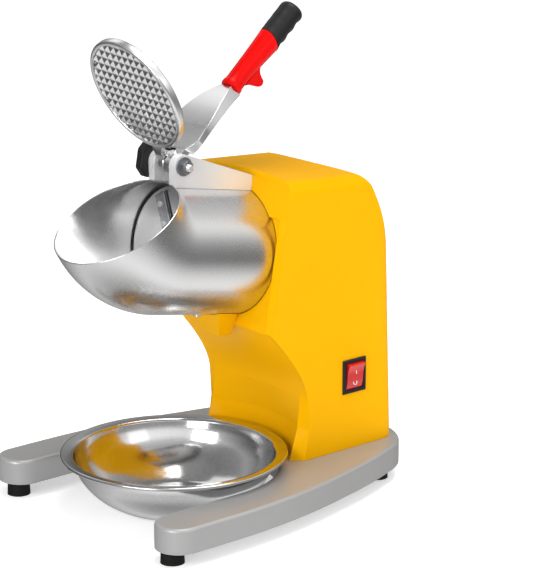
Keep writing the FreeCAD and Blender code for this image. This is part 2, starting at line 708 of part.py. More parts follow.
keep(cut("cutter_disc", joined("disc_form", [disc_blank, disc_hub]),
         joined("disc_cuts", disc_cuts)), "cutter_disc")
group("cutter_blades", blades)
group("blade_screws", blade_screws)


def prism(name, radius, height, place, sides=6):
    item = primitive("Prism", name, {"Circumradius": radius, "Height": height}, place)
    item.Polygon = sides
    return item


nut_place = on_axis(size("disc_front - nut_height") - 0.05)
keep(cut("disc_nut", prism("disc_nut_form", "nut_radius", "nut_height", nut_place),
         rod("disc_nut_bore", "shaft_radius - 1", "nut_height * 2",
             on_axis(size("disc_front - nut_height") - 3))), "disc_nut")

# ---------------------------------------------------------------- motor

turned("motor_shaft", [
    ("shaft_radius * 0", "shaft_start"), ("shaft_radius - 1.05", "shaft_start"),
    ("shaft_radius - 1.05", "disc_front"), ("shaft_radius", "disc_front"),
    ("shaft_radius", "shaft_end"), ("shaft_radius * 0", "shaft_end"),
], on_axis())


def ring(label, inner, outer, width, along):
    return turned(label, [(inner, "fit_gap * 0"), (outer, "fit_gap * 0"), (outer, width),
                          (inner, width)], on_axis(along))


REAR_BEARING = size("motor_front + motor_length - bell_thickness") + 2
ring("front_bearing", "shaft_radius + fit_gap", "bearing_radius - fit_gap",
     "bearing_width", size("chamber_rear - bearing_width"))
ring("rear_bearing", "shaft_radius + fit_gap", "bearing_radius - fit_gap",
     "bearing_width", REAR_BEARING)
ring("shaft_seal", "shaft_radius + fit_gap", "shaft_radius + 4 - fit_gap", "seal_width",
     size("chamber_rear - chamber_plate - 8"))
ring("rotor_core", "shaft_radius + fit_gap * 0", "rotor_radius", "rotor_length",
     size("motor_front + motor_length / 2 - rotor_length / 2"))


def winding(name, along):
    outer = rod(name + "_outer", "winding_radius", "winding_length", on_axis(along))
    bore = rod(name + "_bore", "stator_bore + 2", "winding_length * 3",
               on_axis(along - size("winding_length")))
    return cut(name, outer, bore)


STATOR_FRONT = size("motor_front + motor_length / 2 - rotor_length / 2")
stator_cuts = [rod("stator_hole", "stator_bore", "rotor_length * 2", on_axis(STATOR_FRONT - 20))]
for angle in BOLT_ANGLES:
    stator_cuts.append(rod(f"stator_groove_{angle}", "through_bolt_radius * 1.3",
                           "rotor_length * 2",
                           on_axis(STATOR_FRONT - 20, angle, size("through_bolt_circle"))))
keep(cut("stator_core", rod("stator_form", "motor_radius - can_wall", "rotor_length",
                            on_axis(STATOR_FRONT)), joined("stator_cuts", stator_cuts)),
     "stator_core")
group("stator_windings", [
    winding("winding_front", STATOR_FRONT - size("winding_length")),
    winding("winding_rear", STATOR_FRONT + size("rotor_length"))])
ring("motor_can", "motor_radius - can_wall", "motor_radius", "motor_length - 2 * 10",
     size("motor_front") + 10)


def bell(label, along, outward):
    """An end casting of the motor; its mouth faces the can."""
    deep, thick = size("bell_thickness"), size("can_wall + 1.5")
    shape = Part.makeCylinder(size("motor_radius"), 10)
    hollow = Part.makeCylinder(size("motor_radius - can_wall - 1"), 10)
    shape = shape.cut(hollow.translated(Vector(0, 0, thick if outward < 0 else -thick)))
    seat = Part.makeCylinder(size("bearing_radius + 3"), deep)
    if outward > 0:
        shape = shape.fuse(seat.translated(Vector(0, 0, 10 - deep)))
        shape = shape.cut(Part.makeCylinder(size("bearing_radius"), size("bearing_width"),
                                            Vector(0, 0, REAR_BEARING - along)))
    shape = shape.cut(Part.makeCylinder(size("shaft_radius + 1"), 60, Vector(0, 0, -20)))
    for angle in BOLT_ANGLES:
        turn = math.radians(angle)
        spot = Vector(math.cos(turn), math.sin(turn), 0) * size("through_bolt_circle")
        shape = shape.cut(Part.makeCylinder(size("through_bolt_radius + fit_gap"), 60,
                                            spot + Vector(0, 0, -20)))
    return shaped(label, shape, on_axis(along))


bell("motor_front_bell", size("motor_front"), -1)
bell("motor_rear_bell", size("motor_front + motor_length") - 10, 1)
group("motor_bolts", [
    screw(f"motor_bolt_{angle}", "through_bolt_radius", "motor_length + 10",
          "foot_screw_head_radius", "foot_screw_head_height",
          on_axis(size("motor_front + motor_length"), angle,
                  size("through_bolt_circle")).multiply(at(axis=Vector(1, 0, 0), angle=180)))
    for angle in BOLT_ANGLES])

fan_parts = [rod("fan_boss", "fan_hub", "fan_blade", on_axis(size("fan_start")))]
for number in range(int(size("fan_count"))):
    pitch = Rotation(Vector(1, 0, 0), 32)
    fan_parts.append(brick(
        f"fan_blade_{number}", "fan_radius - fan_hub + 2", "fan_blade", "blade_thickness",
        on_axis(size("fan_start + fan_blade / 2"),
                number * 360.0 / size("fan_count")).multiply(
            Placement(Vector(size("fan_hub") - 2, 0, 0), pitch)).multiply(
            at(y=-size("fan_blade / 2"), z=-size("blade_thickness / 2")))))
keep(cut("cooling_fan", joined("fan_form", fan_parts),
         rod("fan_bore", "shaft_radius", "fan_blade * 3", on_axis(size("fan_start") - 10))),
     "cooling_fan")

# ---------------------------------------------------------------- electrics

capacitor_place = at(size("capacitor_x"), size("capacitor_y"), DECK + size("housing_wall") + 0.05)
keep(rod("run_capacitor", "capacitor_radius", "capacitor_length", capacitor_place),
     "run_capacitor")
clip_place = capacitor_place.multiply(at(z=size("capacitor_length") * 0.35))
clip_tab = brick("clip_tab", "housing_half_width - housing_wall + capacitor_x",
                 "capacitor_radius * 0.8", "capacitor_length * 0.22",
                 at(-size("housing_half_width - housing_wall") + 0.02,
                    size("capacitor_y - capacitor_radius * 0.4"), clip_place.Base.z))
keep(cut("capacitor_clip", joined("clip_form", [
    rod("clip_ring", "capacitor_radius + 1.5", "capacitor_length * 0.22", clip_place), clip_tab]),
    rod("clip_bore", "capacitor_radius + 0.05", "capacitor_length * 2", at(
        size("capacitor_x"), size("capacitor_y"), DECK - 20))), "capacitor_clip")


ROCKER_PIN = Vector(size("housing_half_width"), size("switch_y"), size("switch_z"))


def rocker_frame():
    """The switch's bezel and box, open at the front for the rocker."""
    half = size("housing_half_width")
    y, z = size("switch_y"), size("switch_z")
    wide, tall = size("switch_width / 2"), size("switch_height / 2")
    body_w, body_t = size("switch_body_width / 2"), size("switch_body_height / 2")
    depth, reach = size("bezel_depth"), size("switch_body_depth")
    shape = block((half + 0.05, y - wide, z - tall), (half + depth, y + wide, z + tall))
    edges = [edge for edge in shape.Edges
             if all(v.X > half + depth - 0.1 for v in edge.Vertexes)]
    shape = shape.makeChamfer(0.8, edges)
    shape = shape.fuse(block((half - reach, y - body_w, z - body_t), (half + 1, y + body_w, z + body_t)))
    pocket_w, pocket_t = size("rocker_width / 2") + 0.4, size("rocker_height / 2") + 0.6
    shape = shape.cut(block((half - 13, y - pocket_w, z - pocket_t),
                            (half + 9, y + pocket_w, z + pocket_t)))
    pin = size("rocker_pin_length") + 0.1
    return shape.cut(Part.makeCylinder(size("rocker_pin_radius + fit_gap"), pin,
                                       ROCKER_PIN - Vector(0, pin / 2, 0), Vector(0, 1, 0)))


shaped("rocker_frame", rocker_frame())
terminals = []
for number, height in enumerate((-8.0, 0.0, 8.0)):
    terminals.append(brick(
        f"terminal_{number}", "bezel_depth * 4", "bezel_rim * 2", "bezel_depth / 2.8",
        at(size("housing_half_width - switch_body_depth - bezel_depth * 4"),
           size("switch_y - bezel_rim"), size("switch_z") + height)))
group("switch_terminals", terminals)

rocker_place = Placement(
    ROCKER_PIN, Rotation(Vector(0, 1, 0), Vector(0, 0, 1), Vector(1, 0, 0), "ZXY"))
rocker_form = padded("rocker_form", "YZ_Plane", [
    ("rocker_height * 0.454", "rocker_tip"),
    ("rocker_height * 0", "rocker_tip * 0.46"),
    ("rocker_height * -0.484", "rocker_tip * 0.1"),
    ("rocker_height * -0.508", "rocker_tip * -0.16"),
    ("rocker_height * -0.46", "rocker_tip * -0.9"),
    ("rocker_height * -0.17", "rocker_tip * -1.25"),
    ("rocker_height * 0.17", "rocker_tip * -1.25"),
    ("rocker_height * 0.46", "rocker_tip * -0.9"),
    ("rocker_height * 0.51", "rocker_tip * -0.1"),
    ("rocker_height * 0.504", "rocker_tip * 0.39"),
], "rocker_width", rocker_place)
PARTS.pop("rocker_form")
keep(joined("rocker_button", [rocker_form, rod(
    "rocker_pin", "rocker_pin_radius", "rocker_pin_length",
    Placement(ROCKER_PIN + Vector(0, size("rocker_pin_length / 2"), 0),
              Rotation(Vector(1, 0, 0), 90)))]), "rocker_button")

# ---------------------------------------------------------------- lever pivot

def bracket():
    """A saddle on the hopper: two thick ears joined by a web, running back to the face."""
    inner, outer, radius = size("ear_inner"), size("ear_outer"), size("ear_radius")
    y, z = PIVOT.y, PIVOT.z
    rear_y = face_y(279.0) - 0.1
    steep = math.radians(100.0)
    crown = side_point(y + radius * math.cos(math.radians(72)), z + radius * math.sin(math.radians(72)))
    front = side_point(y + radius * math.cos(steep * 1.8), z + radius * math.sin(steep * 1.8))
    outline = face([
        arc(front, side_point(y - radius * 0.6, z + radius * 0.8), crown),
        line(crown, side_point(rear_y, 283.0)),
        line(side_point(rear_y, 283.0), side_point(rear_y, 262.0)),
        line(side_point(rear_y, 262.0), side_point(y - radius + 1, 262.0)),
        line(side_point(y - radius + 1, 262.0), front),
    ])
    ears = outline.copy()
    ears.translate(Vector(-outer, 0, 0))
    ears = ears.extrude(Vector(2 * outer, 0, 0))
    channel = block((-inner, y - 40, 262), (inner, rear_y - 8, 330))
    web = block((-inner, y + 16, 262), (inner, rear_y, 290)).common(
        outline.translated(Vector(-inner, 0, 0)).extrude(Vector(2 * inner, 0, 0)))
    saddle = ears.cut(channel).fuse(web.common(place_shape(
        Part.makeCylinder(size("hopper_radius") + 3, 200), on_axis(-20))))
    saddle = saddle.cut(place_shape(Part.makeCylinder(size("hopper_radius") + 0.1, 200), on_axis(-20)))
    pin = Part.makeCylinder(size("pin_radius + fit_gap"), 60, Vector(-30, y, z), Vector(1, 0, 0))
    saddle = saddle.cut(hopper_form(size("hopper_radius") + 0.1))
    return saddle.cut(pin).cut(housing_block(0))


shaped("pivot_bracket", bracket())


def across(name, radius, height, x):
    return rod(name, radius, height, Placement(
        Vector(x, PIVOT.y, PIVOT.z), Rotation(Vector(0, 1, 0), 90)))


keep(across("pivot_bolt", "pin_radius", "pin_back + pin_reach", -size("pin_back")),
     "pivot_bolt")


def pivot_ring(name, form, x):
    bore = across(name + "_bore", "pin_radius + fit_gap", "nut_depth * 4", x - 5)
    return cut(name, form, bore)


WASHER_X = size("ear_outer") + 0.02
keep(pivot_ring("pivot_washer", across("washer_form", "washer_radius", "washer_thickness",
                                       WASHER_X), WASHER_X), "pivot_washer")
NUT_X = WASHER_X + size("washer_thickness") + 0.02
keep(pivot_ring("pivot_nut", prism("nut_form", "nut_across", "nut_depth", Placement(
    Vector(NUT_X, PIVOT.y, PIVOT.z), Rotation(Vector(0, 1, 0), 90))), NUT_X), "pivot_nut")

# ---------------------------------------------------------------- lever and press plate

PLATE_PLACE = on_pivot(size("plate_angle"))
LEVER_PLACE = on_pivot(size("lever_angle"))


def pin_hole(start, length):
    return Part.makeCylinder(size("pin_radius + fit_gap"), length, Vector(start, 0, 0),
                             Vector(1, 0, 0))


def press_plate():
    """A cast disc on a short arm; a shallow dish in its face takes the gripping texture."""
    radius, thick = size("plate_radius"), size("plate_thickness")
    reach, rounding = size("plate_distance"), size("plate_round")
    disc = Part.makeCylinder(radius, thick, Vector(0, reach, 0))
    rims = [edge for edge in disc.Edges if isinstance(edge.Curve, Part.Circle)]
    disc = disc.makeFillet(rounding, rims)
    dish = Part.makeCylinder(radius - size("plate_rim"), thick,
                             Vector(0, reach, thick - size("plate_recess")))
    disc = disc.cut(dish)
    knuckle, gap = size("knuckle_radius"), size("knuckle_gap")
    width = size("ear_inner") - 2 * gap
    hinge = Part.makeCylinder(knuckle, width, Vector(-width - gap, 0, 0), Vector(1, 0, 0))
    arm = polygon([Vector(-width - gap, 0, 0), Vector(-gap, 0, 0), Vector(-gap, 14, 0),
                   Vector(9, 26, 0), Vector(-9, 26, 0), Vector(-width - gap, 16, 0)])
    arm = arm.extrude(Vector(0, 0, thick - size("plate_recess") - 0.6))
    plate = disc.fuse(arm).fuse(hinge)
    return plate.cut(pin_hole(-30, 60))


shaped("press_plate", press_plate(), PLATE_PLACE)


# along the arm, then top and bottom half-widths on the right and on the left, top z, bottom z
LEVER_SECTIONS = [
    (13.0, 11.0, 19.5, 11.0, 16.6, 5.2, -0.2),
    (18.5, 16.5, 20.8, 15.5, 16.6, 5.8, -0.5),
    (23.5, 21.2, 21.4, 21.2, 21.4, 6.2, -0.5),
    (35.0, 21.2, 21.6, 21.2, 21.6, 7.2, -0.6),
    (51.0, 19.2, 20.2, 19.2, 20.2, 7.3, -0.8),
    (67.6, 13.4, 16.0, 13.4, 16.0, 4.7, -4.2),
    (78.0, 8.4, 12.2, 8.4, 12.2, 1.2, -7.2),
    (85.2, 6.0, 10.8, 6.0, 10.8, -0.5, -8.4),
]


def lever_section(row):
    """A channel: a flat top, two flanges that splay to the rear, an even wall."""
    along, top_right, low_right, top_left, low_left, top, low = row
    wall = size("lever_wall")
    corners = [(-low_left, low), (-top_left, top), (top_right, top), (low_right, low),
               (low_right - wall, low), (top_right - wall * 0.8, top - wall),
               (-top_left + wall * 0.8, top - wall), (-low_left + wall, low)]
    points = [Vector(x, along, z) for x, z in corners]
    return Part.makePolygon(points + points[:1])


TANG_TOP = -1.2


def lever_arm():
    """A pressed channel, open to the rear, with its knuckle and the tang for the grip."""
    collar = size("collar_at")
    channel = Part.makeLoft([lever_section(row) for row in LEVER_SECTIONS], True, True)
    gap = size("knuckle_gap")
    width = size("ear_inner") - 2 * gap
    hinge = Part.makeCylinder(size("knuckle_radius"), width, Vector(gap, 0, 0), Vector(1, 0, 0))
    neck = block((gap, 0, -5), (gap + width, 19, 5.2))
    tang_half, thick = size("tang_half"), size("tang_thickness")
    tang = block((-tang_half, collar - 12, TANG_TOP - thick), (tang_half, size("tang_end"), TANG_TOP))
    arm = channel.fuse(hinge).fuse(neck).fuse(tang)
    thread = Part.makeCylinder(1.5, 9, Vector(size("hub_screw_x"), 0, 0), HUB_UP)
    return arm.cut(pin_hole(-30, 60)).cut(thread)


HUB_TURN = 26.0
HUB_UP = Vector(0, math.sin(math.radians(HUB_TURN)), math.cos(math.radians(HUB_TURN)))
shaped("lever_arm", lever_arm(), LEVER_PLACE)
hub_place = LEVER_PLACE.multiply(Placement(Vector(size("hub_screw_x"), 0, 0),
                                           Rotation(Vector(1, 0, 0), -HUB_TURN)))
keep(joined("hub_screw", [
    prism("hub_screw_head", "nut_across * 0.66", "nut_depth * 0.7",
          hub_place.multiply(at(z=size("knuckle_radius") + 0.02))),
    rod("hub_screw_shank", "pin_radius * 0.5", "knuckle_radius * 0.55",
        hub_place.multiply(at(z=size("knuckle_radius") * 0.47)))]), "hub_screw")


GRIP_Z = -3.0


def grip_form(start, end):
    """A round bar along the arm."""
    return Part.makeCylinder(size("grip_half"), end - start, Vector(0, start, GRIP_Z),
                             Vector(0, 1, 0))


def grip_piece(start, end, hooked):
    piece = grip_form(start, end)
    ends = [edge for edge in piece.Edges if isinstance(edge.Curve, Part.Circle)
            and abs(edge.Curve.Center.y - (start if hooked else end)) < 0.1]
    piece = piece.makeFillet(1.5 if hooked else 5.0, ends)
    if hooked:
        reach = size("hook_reach")
        hook = polygon([side_point(98, -8), side_point(104, -reach + 2),
                        side_point(109, -reach), side_point(113, -reach + 3),
                        side_point(117, -8)])
        piece = piece.fuse(hook.translated(Vector(-6, 0, 0)).extrude(Vector(12, 0, 0)))
    tang_half, thick = size("tang_half") + 0.05, size("tang_thickness")
    slot = block((-tang_half, start - 1, TANG_TOP - thick - 0.05),
                 (tang_half, size("tang_end") + 0.05, TANG_TOP + 0.05))
    return piece.cut(slot)


shaped("grip_red", grip_piece(size("collar_at") + 1.2, size("grip_split"), True), LEVER_PLACE)
shaped("grip_black", grip_piece(size("grip_split") + 0.05, size("grip_end"), False), LEVER_PLACE)

# ---------------------------------------------------------------- safety switch

CAM_X = size("guard_inner_x") - 0.6
SENSOR_Y = PIVOT.y + 15.5


def cam():
    """A plate on the pivot's end whose radius grows evenly as the lever comes down."""
    base, lift, travel = size("cam_radius"), size("cam_lift"), size("cam_travel")

    def rim(turn):
        radius = base + lift * turn / travel
        return Vector(CAM_X, radius * math.cos(math.radians(-turn)),
                      radius * math.sin(math.radians(-turn)))
    ramp = Part.BSplineCurve()
    ramp.interpolate([rim(turn) for turn in range(-10, 155, 6)])
    first, last = ramp.StartPoint, ramp.EndPoint
    middle = Vector(CAM_X, -3.0, base + 0.6)
    plate = face([ramp.toShape(), arc(last, middle, first)])
    plate = plate.extrude(Vector(-size("cam_thickness"), 0, 0))
    return plate.cut(pin_hole(-40, 80))


shaped("interlock_cam", cam(), Placement(PIVOT, Rotation()))


def guard():
    """The interlock switch's box on the far ear: bevelled corners, its top falling away."""
    wall, inner_x, outer_x = size("guard_wall"), size("guard_inner_x"), size("guard_outer_x")
    front, rear = size("guard_front_y") - PIVOT.y, size("guard_rear_y") - PIVOT.y
    low, top = size("guard_low_z") - PIVOT.z, size("guard_top_z") - PIVOT.z
    bevel = size("guard_bevel")
    outline = polygon([
        side_point(front + bevel, low), side_point(rear - 4, low), side_point(rear, low + 4),
        side_point(rear, low + 3 * bevel), side_point(rear - 2.2 * bevel, top - 1.3),
        side_point(front + 2.6 * bevel, top),
        side_point(front + 0.7 * bevel, top), side_point(front, top - bevel),
        side_point(front, low + bevel)])
    box = outline.translated(Vector(outer_x, 0, 0)).extrude(Vector(inner_x - outer_x, 0, 0))
    room = outline.makeOffset2D(-wall).translated(Vector(outer_x + wall, 0, 0))
    box = box.cut(room.extrude(Vector(inner_x - outer_x, 0, 0)))
    return box


GUARD_PLACE = on_pivot(-size("face_lean"))
shaped("interlock_guard", guard(), GUARD_PLACE)
sensor = brick("sensor_form", "cam_thickness + 1.6", "sensor_depth", "sensor_height",
               at(CAM_X - size("cam_thickness + 1.4"), SENSOR_Y, PIVOT.z - size("sensor_drop")))
PLUNGER_PLACE = Placement(
    Vector(CAM_X - size("cam_thickness / 2"),
           PIVOT.y + size("cam_radius + plunger_gap"), PIVOT.z), Rotation(Vector(1, 0, 0), -90))
keep(cut("interlock_switch", sensor, rod("sensor_bore", "plunger_radius + fit_gap",
                                         "plunger_length + cam_lift + 1", PLUNGER_PLACE)),
     "interlock_switch")
keep(rod("interlock_plunger", "plunger_radius", "plunger_length", PLUNGER_PLACE),
     "interlock_plunger")
group("interlock_screws", [
    rod(f"interlock_screw_{number}", "blade_screw_head", "blade_screw_radius",
        GUARD_PLACE.multiply(Placement(
            Vector(size("guard_outer_x - blade_screw_radius") - 0.02, y, z),
            Rotation(Vector(0, 1, 0), 90))))
    for number, (y, z) in enumerate(((23.0, -9.0), (-7.0, 8.5)))])

# ---------------------------------------------------------------- checks and export

doc.recompute()
faults = [item.Name for item in doc.Objects
          if any(word in item.State for word in ("Invalid", "Error"))]
faults += [label for label, item in PARTS.items()
           if item.Shape.isNull() or not item.Shape.isValid() or not item.Shape.Solids]
if faults:
    raise SystemExit("failed: " + ", ".join(faults))

os.makedirs("parts", exist_ok=True)
box = FreeCAD.BoundBox()
for label, item in PARTS.items():
    item.Shape.exportStep(f"parts/{label}.step")
    box.add(item.Shape.BoundBox)
print(len(PARTS), "sub-parts;", box)
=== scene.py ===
import bmesh
import bpy
import json
import math
from mathutils import Matrix, Vector


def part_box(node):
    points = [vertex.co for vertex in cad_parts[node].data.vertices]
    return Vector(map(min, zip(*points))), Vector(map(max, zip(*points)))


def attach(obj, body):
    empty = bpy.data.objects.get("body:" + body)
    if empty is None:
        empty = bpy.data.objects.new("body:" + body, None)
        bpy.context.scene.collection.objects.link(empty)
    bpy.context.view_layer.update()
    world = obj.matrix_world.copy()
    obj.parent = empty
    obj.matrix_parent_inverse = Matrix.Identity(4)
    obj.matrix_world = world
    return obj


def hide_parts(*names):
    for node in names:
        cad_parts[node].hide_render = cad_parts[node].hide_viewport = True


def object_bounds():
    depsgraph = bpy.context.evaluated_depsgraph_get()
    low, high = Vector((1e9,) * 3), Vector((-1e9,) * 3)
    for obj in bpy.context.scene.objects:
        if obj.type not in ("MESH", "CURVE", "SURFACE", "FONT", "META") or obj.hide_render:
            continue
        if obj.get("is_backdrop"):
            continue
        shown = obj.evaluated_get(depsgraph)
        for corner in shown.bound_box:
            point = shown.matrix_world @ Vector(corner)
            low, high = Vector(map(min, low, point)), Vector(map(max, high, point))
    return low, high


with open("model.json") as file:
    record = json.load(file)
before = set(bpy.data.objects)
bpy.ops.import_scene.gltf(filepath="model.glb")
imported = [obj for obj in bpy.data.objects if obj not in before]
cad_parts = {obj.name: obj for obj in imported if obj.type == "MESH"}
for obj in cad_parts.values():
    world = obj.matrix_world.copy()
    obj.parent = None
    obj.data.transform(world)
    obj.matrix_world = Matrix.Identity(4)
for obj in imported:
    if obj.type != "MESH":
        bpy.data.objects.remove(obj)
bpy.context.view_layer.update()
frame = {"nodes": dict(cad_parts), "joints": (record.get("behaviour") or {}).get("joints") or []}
NODES = frame["nodes"]
JOINTS = {joint["name"]: joint for joint in frame["joints"]}

MM = 0.001
HINGE = Vector(JOINTS["lever_hinge"]["pos_m"])
CUTTER_AXIS = Vector(JOINTS["cutter_spin"]["axis"])
CUTTER_START = Vector(JOINTS["cutter_spin"]["pos_m"])
LEAN = math.degrees(math.asin(-CUTTER_AXIS.z))
PLATE_ANGLE = 115.5
LEVER_ANGLE = 41.5


# ---------------------------------------------------------------- places and meshes

def sized(place):
    """The same place for a mesh whose points are in millimetres."""
    return place @ Matrix.Scale(MM, 4)


def on_pivot(angle):
    """At the lever pivot: local Y runs out along the arm and local X is the pin."""
    return sized(Matrix.Translation(HINGE) @ Matrix.Rotation(math.radians(angle), 4, "X"))


def on_axis(along=0.0):
    """On the cutter axis: local Z runs to the rear and local Y points down."""
    start = CUTTER_START + CUTTER_AXIS * along * MM
    return sized(Matrix.Translation(start) @ Matrix.Rotation(math.radians(-90 - LEAN), 4, "X"))


def at(x, y, z):
    return sized(Matrix.Translation(Vector((x, y, z)) * MM))


def circle(radius, count, z=0.0, centre=(0.0, 0.0)):
    turn = 2 * math.pi / count
    return [(centre[0] + radius * math.cos(i * turn), centre[1] + radius * math.sin(i * turn), z)
            for i in range(count)]


def smooth_through(points, steps=6):
    """A Catmull-Rom curve through the points, which may have any number of values each."""
    result = []
    last = len(points) - 1
    for i in range(last):
        before, here = points[max(i - 1, 0)], points[i]
        after, beyond = points[i + 1], points[min(i + 2, last)]
        for step in range(steps):
            t = step / steps
            result.append(tuple(
                0.5 * (2 * b + (c - a) * t + (2 * a - 5 * b + 4 * c - d) * t * t
                       + (3 * b - a - 3 * c + d) * t ** 3)
                for a, b, c, d in zip(before, here, after, beyond)))
    result.append(tuple(points[last]))
    return result


def bend(centre, radius, start, end, steps=6):
    """Points along a flat arc, by angles in degrees."""
    turns = [math.radians(start + (end - start) * i / steps) for i in range(steps + 1)]
    return [(centre[0] + radius * math.cos(t), centre[1] + radius * math.sin(t)) for t in turns]


class Shape:
    """Points and faces gathered from several closed forms, in millimetres."""

    def __init__(self):
        self.points = []
        self.faces = []

    def add(self, points, faces, place=None):
        offset = len(self.points)
        for point in points:
            vector = Vector(point)
            self.points.append(place @ vector if place else vector)
        self.faces += [[index + offset for index in loop] for loop in faces]
        return self

    def skin(self, rings, wrap=False, place=None, skip=None):
        """Join rings of equally many points, with a lid on each end unless they wrap."""
        count = len(rings[0])
        points = [point for ring in rings for point in ring]
        faces = []
        for i in range(len(rings) if wrap else len(rings) - 1):
            following = (i + 1) % len(rings)
            for j in range(count):
                if skip and skip(i, j):
                    continue
                side = (j + 1) % count
                faces.append([i * count + j, i * count + side,
                              following * count + side, following * count + j])
        if not wrap:
            faces.append(list(range(count))[::-1])
            faces.append([(len(rings) - 1) * count + j for j in range(count)])
        return self.add(points, faces, place)

    def lathe(self, outline, count=96, place=None):
        """Turn a closed outline of (radius, height) about the local Z axis."""
        return self.skin([circle(max(r, 1e-4), count, z) for r, z in outline], True, place)

    def slab(self, outline, low, high, place=None):
        """A flat outline (x, y) pulled from one height to another."""
        return self.skin([[(x, y, low) for x, y in outline],
                          [(x, y, high) for x, y in outline]], False, place)

    def across(self, outline, low, high, place=None):
        """A side outline (y, z) pulled along X."""
        return self.skin([[(low, y, z) for y, z in outline],
                          [(high, y, z) for y, z in outline]], False, place)


def finish_mesh(mesh, sharp):
    work = bmesh.new()
    work.from_mesh(mesh)
    bmesh.ops.remove_doubles(work, verts=work.verts, dist=1e-6)
    bmesh.ops.dissolve_degenerate(work, edges=work.edges, dist=1e-7)
    bmesh.ops.recalc_face_normals(work, faces=work.faces)
    work.to_mesh(mesh)
    work.free()
    mesh.polygons.foreach_set("use_smooth", [True] * len(mesh.polygons))
    mesh.set_sharp_from_angle(angle=math.radians(sharp))
    mesh.update()


def new_object(name, shape, place, sharp=35):
    mesh = bpy.data.meshes.new(name)
    mesh.from_pydata([place @ point for point in shape.points], [], shape.faces)
    finish_mesh(mesh, sharp)
    piece = bpy.data.objects.new(name, mesh)
    bpy.context.scene.collection.objects.link(piece)
    return piece


def settle(piece, sharp=35):
    """Apply the piece's modifiers to its mesh."""
    graph = bpy.context.evaluated_depsgraph_get()
    mesh = bpy.data.meshes.new_from_object(piece.evaluated_get(graph))
    piece.modifiers.clear()
    piece.data = mesh
    finish_mesh(mesh, sharp)


def soften(piece, width, segments=2, limit=32):
    """Round the edges of a piece."""
    bevel = piece.modifiers.new("bevel", "BEVEL")
    bevel.width = width * MM
    bevel.segments = segments
    bevel.limit_method = "ANGLE"
    bevel.angle_limit = math.radians(limit)
    bevel.harden_normals = True


def combine(piece, other, operation):
    """A solid cut, union or intersection with another object, which is then removed."""
    boolean = piece.modifiers.new("boolean", "BOOLEAN")
    boolean.operation = operation
    boolean.solver = "EXACT"
    boolean.object = other
    settle(piece)
    bpy.data.objects.remove(other)


def ready(piece, look, body, *nodes):
    """Give a finished piece its material and its body, and hide the CAD nodes it stands for."""
    piece.data.materials.clear()
    piece.data.materials.append(LOOKS[look])
    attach(piece, body)
    if nodes:
        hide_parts(*nodes)
    return piece


# ---------------------------------------------------------------- materials

class Look:
    """A node material being built round one Principled shader."""

    def __init__(self, name, edge=0.0, **values):
        self.material = bpy.data.materials.new(name + "_look")
        self.material.use_nodes = True
        self.tree = self.material.node_tree
        self.shader = self.tree.nodes["Principled BSDF"]
        for field, value in values.items():
            self.shader.inputs[field.replace("_", " ").title()
                               .replace("Ior", "IOR")].default_value = value
        self.where = self.tree.nodes.new("ShaderNodeTexCoord").outputs["Object"]
        self.height = None
        if edge:
            bevel = self.tree.nodes.new("ShaderNodeBevel")
            bevel.samples = 4
            bevel.inputs["Radius"].default_value = edge * MM
            self.height = bevel.outputs["Normal"]

    def node(self, kind, inputs=None, **fields):
        item = self.tree.nodes.new("ShaderNode" + kind)
        for field, value in fields.items():
            setattr(item, field, value)
        for socket, value in (inputs or {}).items():
            if hasattr(value, "is_output"):
                self.tree.links.new(value, item.inputs[socket])
            else:
                item.inputs[socket].default_value = value
        return item

    def noise(self, scale, detail=3.0, stretch=(1, 1, 1), roughness=0.5):
        mapped = self.node("Mapping", {"Vector": self.where, "Scale": stretch})
        return self.node("TexNoise", {"Vector": mapped.outputs[0], "Scale": scale,
                                      "Detail": detail, "Roughness": roughness}).outputs["Fac"]

    def spread(self, source, low, high, start=0.3, end=0.7):
        """A value that follows the source between two limits."""
        return self.node("MapRange", {"Value": source, "From Min": start, "From Max": end,
                                      "To Min": low, "To Max": high}).outputs[0]

    def colours(self, source, *stops):
        ramp = self.node("ValToRGB", {"Fac": source})
        while len(ramp.color_ramp.elements) < len(stops):
            ramp.color_ramp.elements.new(0.5)
        for element, (position, colour) in zip(ramp.color_ramp.elements, stops):
            element.position = position
            element.color = (*colour, 1.0)
        return ramp.outputs["Color"]

    def feed(self, field, source):
        self.tree.links.new(source, self.shader.inputs[field])
        return self

    def bump(self, source, strength, depth):
        """One more layer of relief, on top of those before it."""
        inputs = {"Height": source, "Strength": strength, "Distance": depth * MM}
        if self.height is not None:
            inputs["Normal"] = self.height
        self.height = self.node("Bump", inputs).outputs["Normal"]
        self.tree.links.new(self.height, self.shader.inputs["Normal"])
        return self

    def painted_crevice_shade(self, source, reach, dark):
        """The colour, darkened as painted shade in crevices and where parts meet, no wider than the
        reach.
        """
        open_sky = self.node("AmbientOcclusion", {"Distance": reach * MM}, samples=16).outputs["AO"]
        amount = self.spread(open_sky, dark, 1.0, 0.2, 0.7)
        return self.node("VectorMath", {0: source, "Scale": amount}, operation="SCALE").outputs[0]

    def edge_lightening(self, amount=0.5):
        """A value that is high on outer edges, which the looks make lighter; on cast metal this is
        a painted highlight.
        """
        point = self.node("NewGeometry").outputs["Pointiness"]
        return self.spread(point, 0.0, amount, 0.5, 0.58)


def tint(colour, factor):
    return tuple(min(1.0, channel * factor) for channel in colour)


def painted(name, colour, roughness, grain, depth, metallic=0.0, **values):
    """Sprayed enamel: faint orange peel, cloudy gloss, a little dust in the colour."""
    look = Look(name, edge=1.0, metallic=metallic, **values)
    cloud = look.noise(9.0, 4.0)
    fine = look.noise(grain, 2.0)
    look.feed("Base Color", look.colours(cloud, (0.3, tint(colour, 0.96)), (0.7, colour)))
    look.feed("Roughness", look.spread(cloud, roughness * 0.85, roughness * 1.2))
    look.bump(fine, 0.25, depth)
    return look


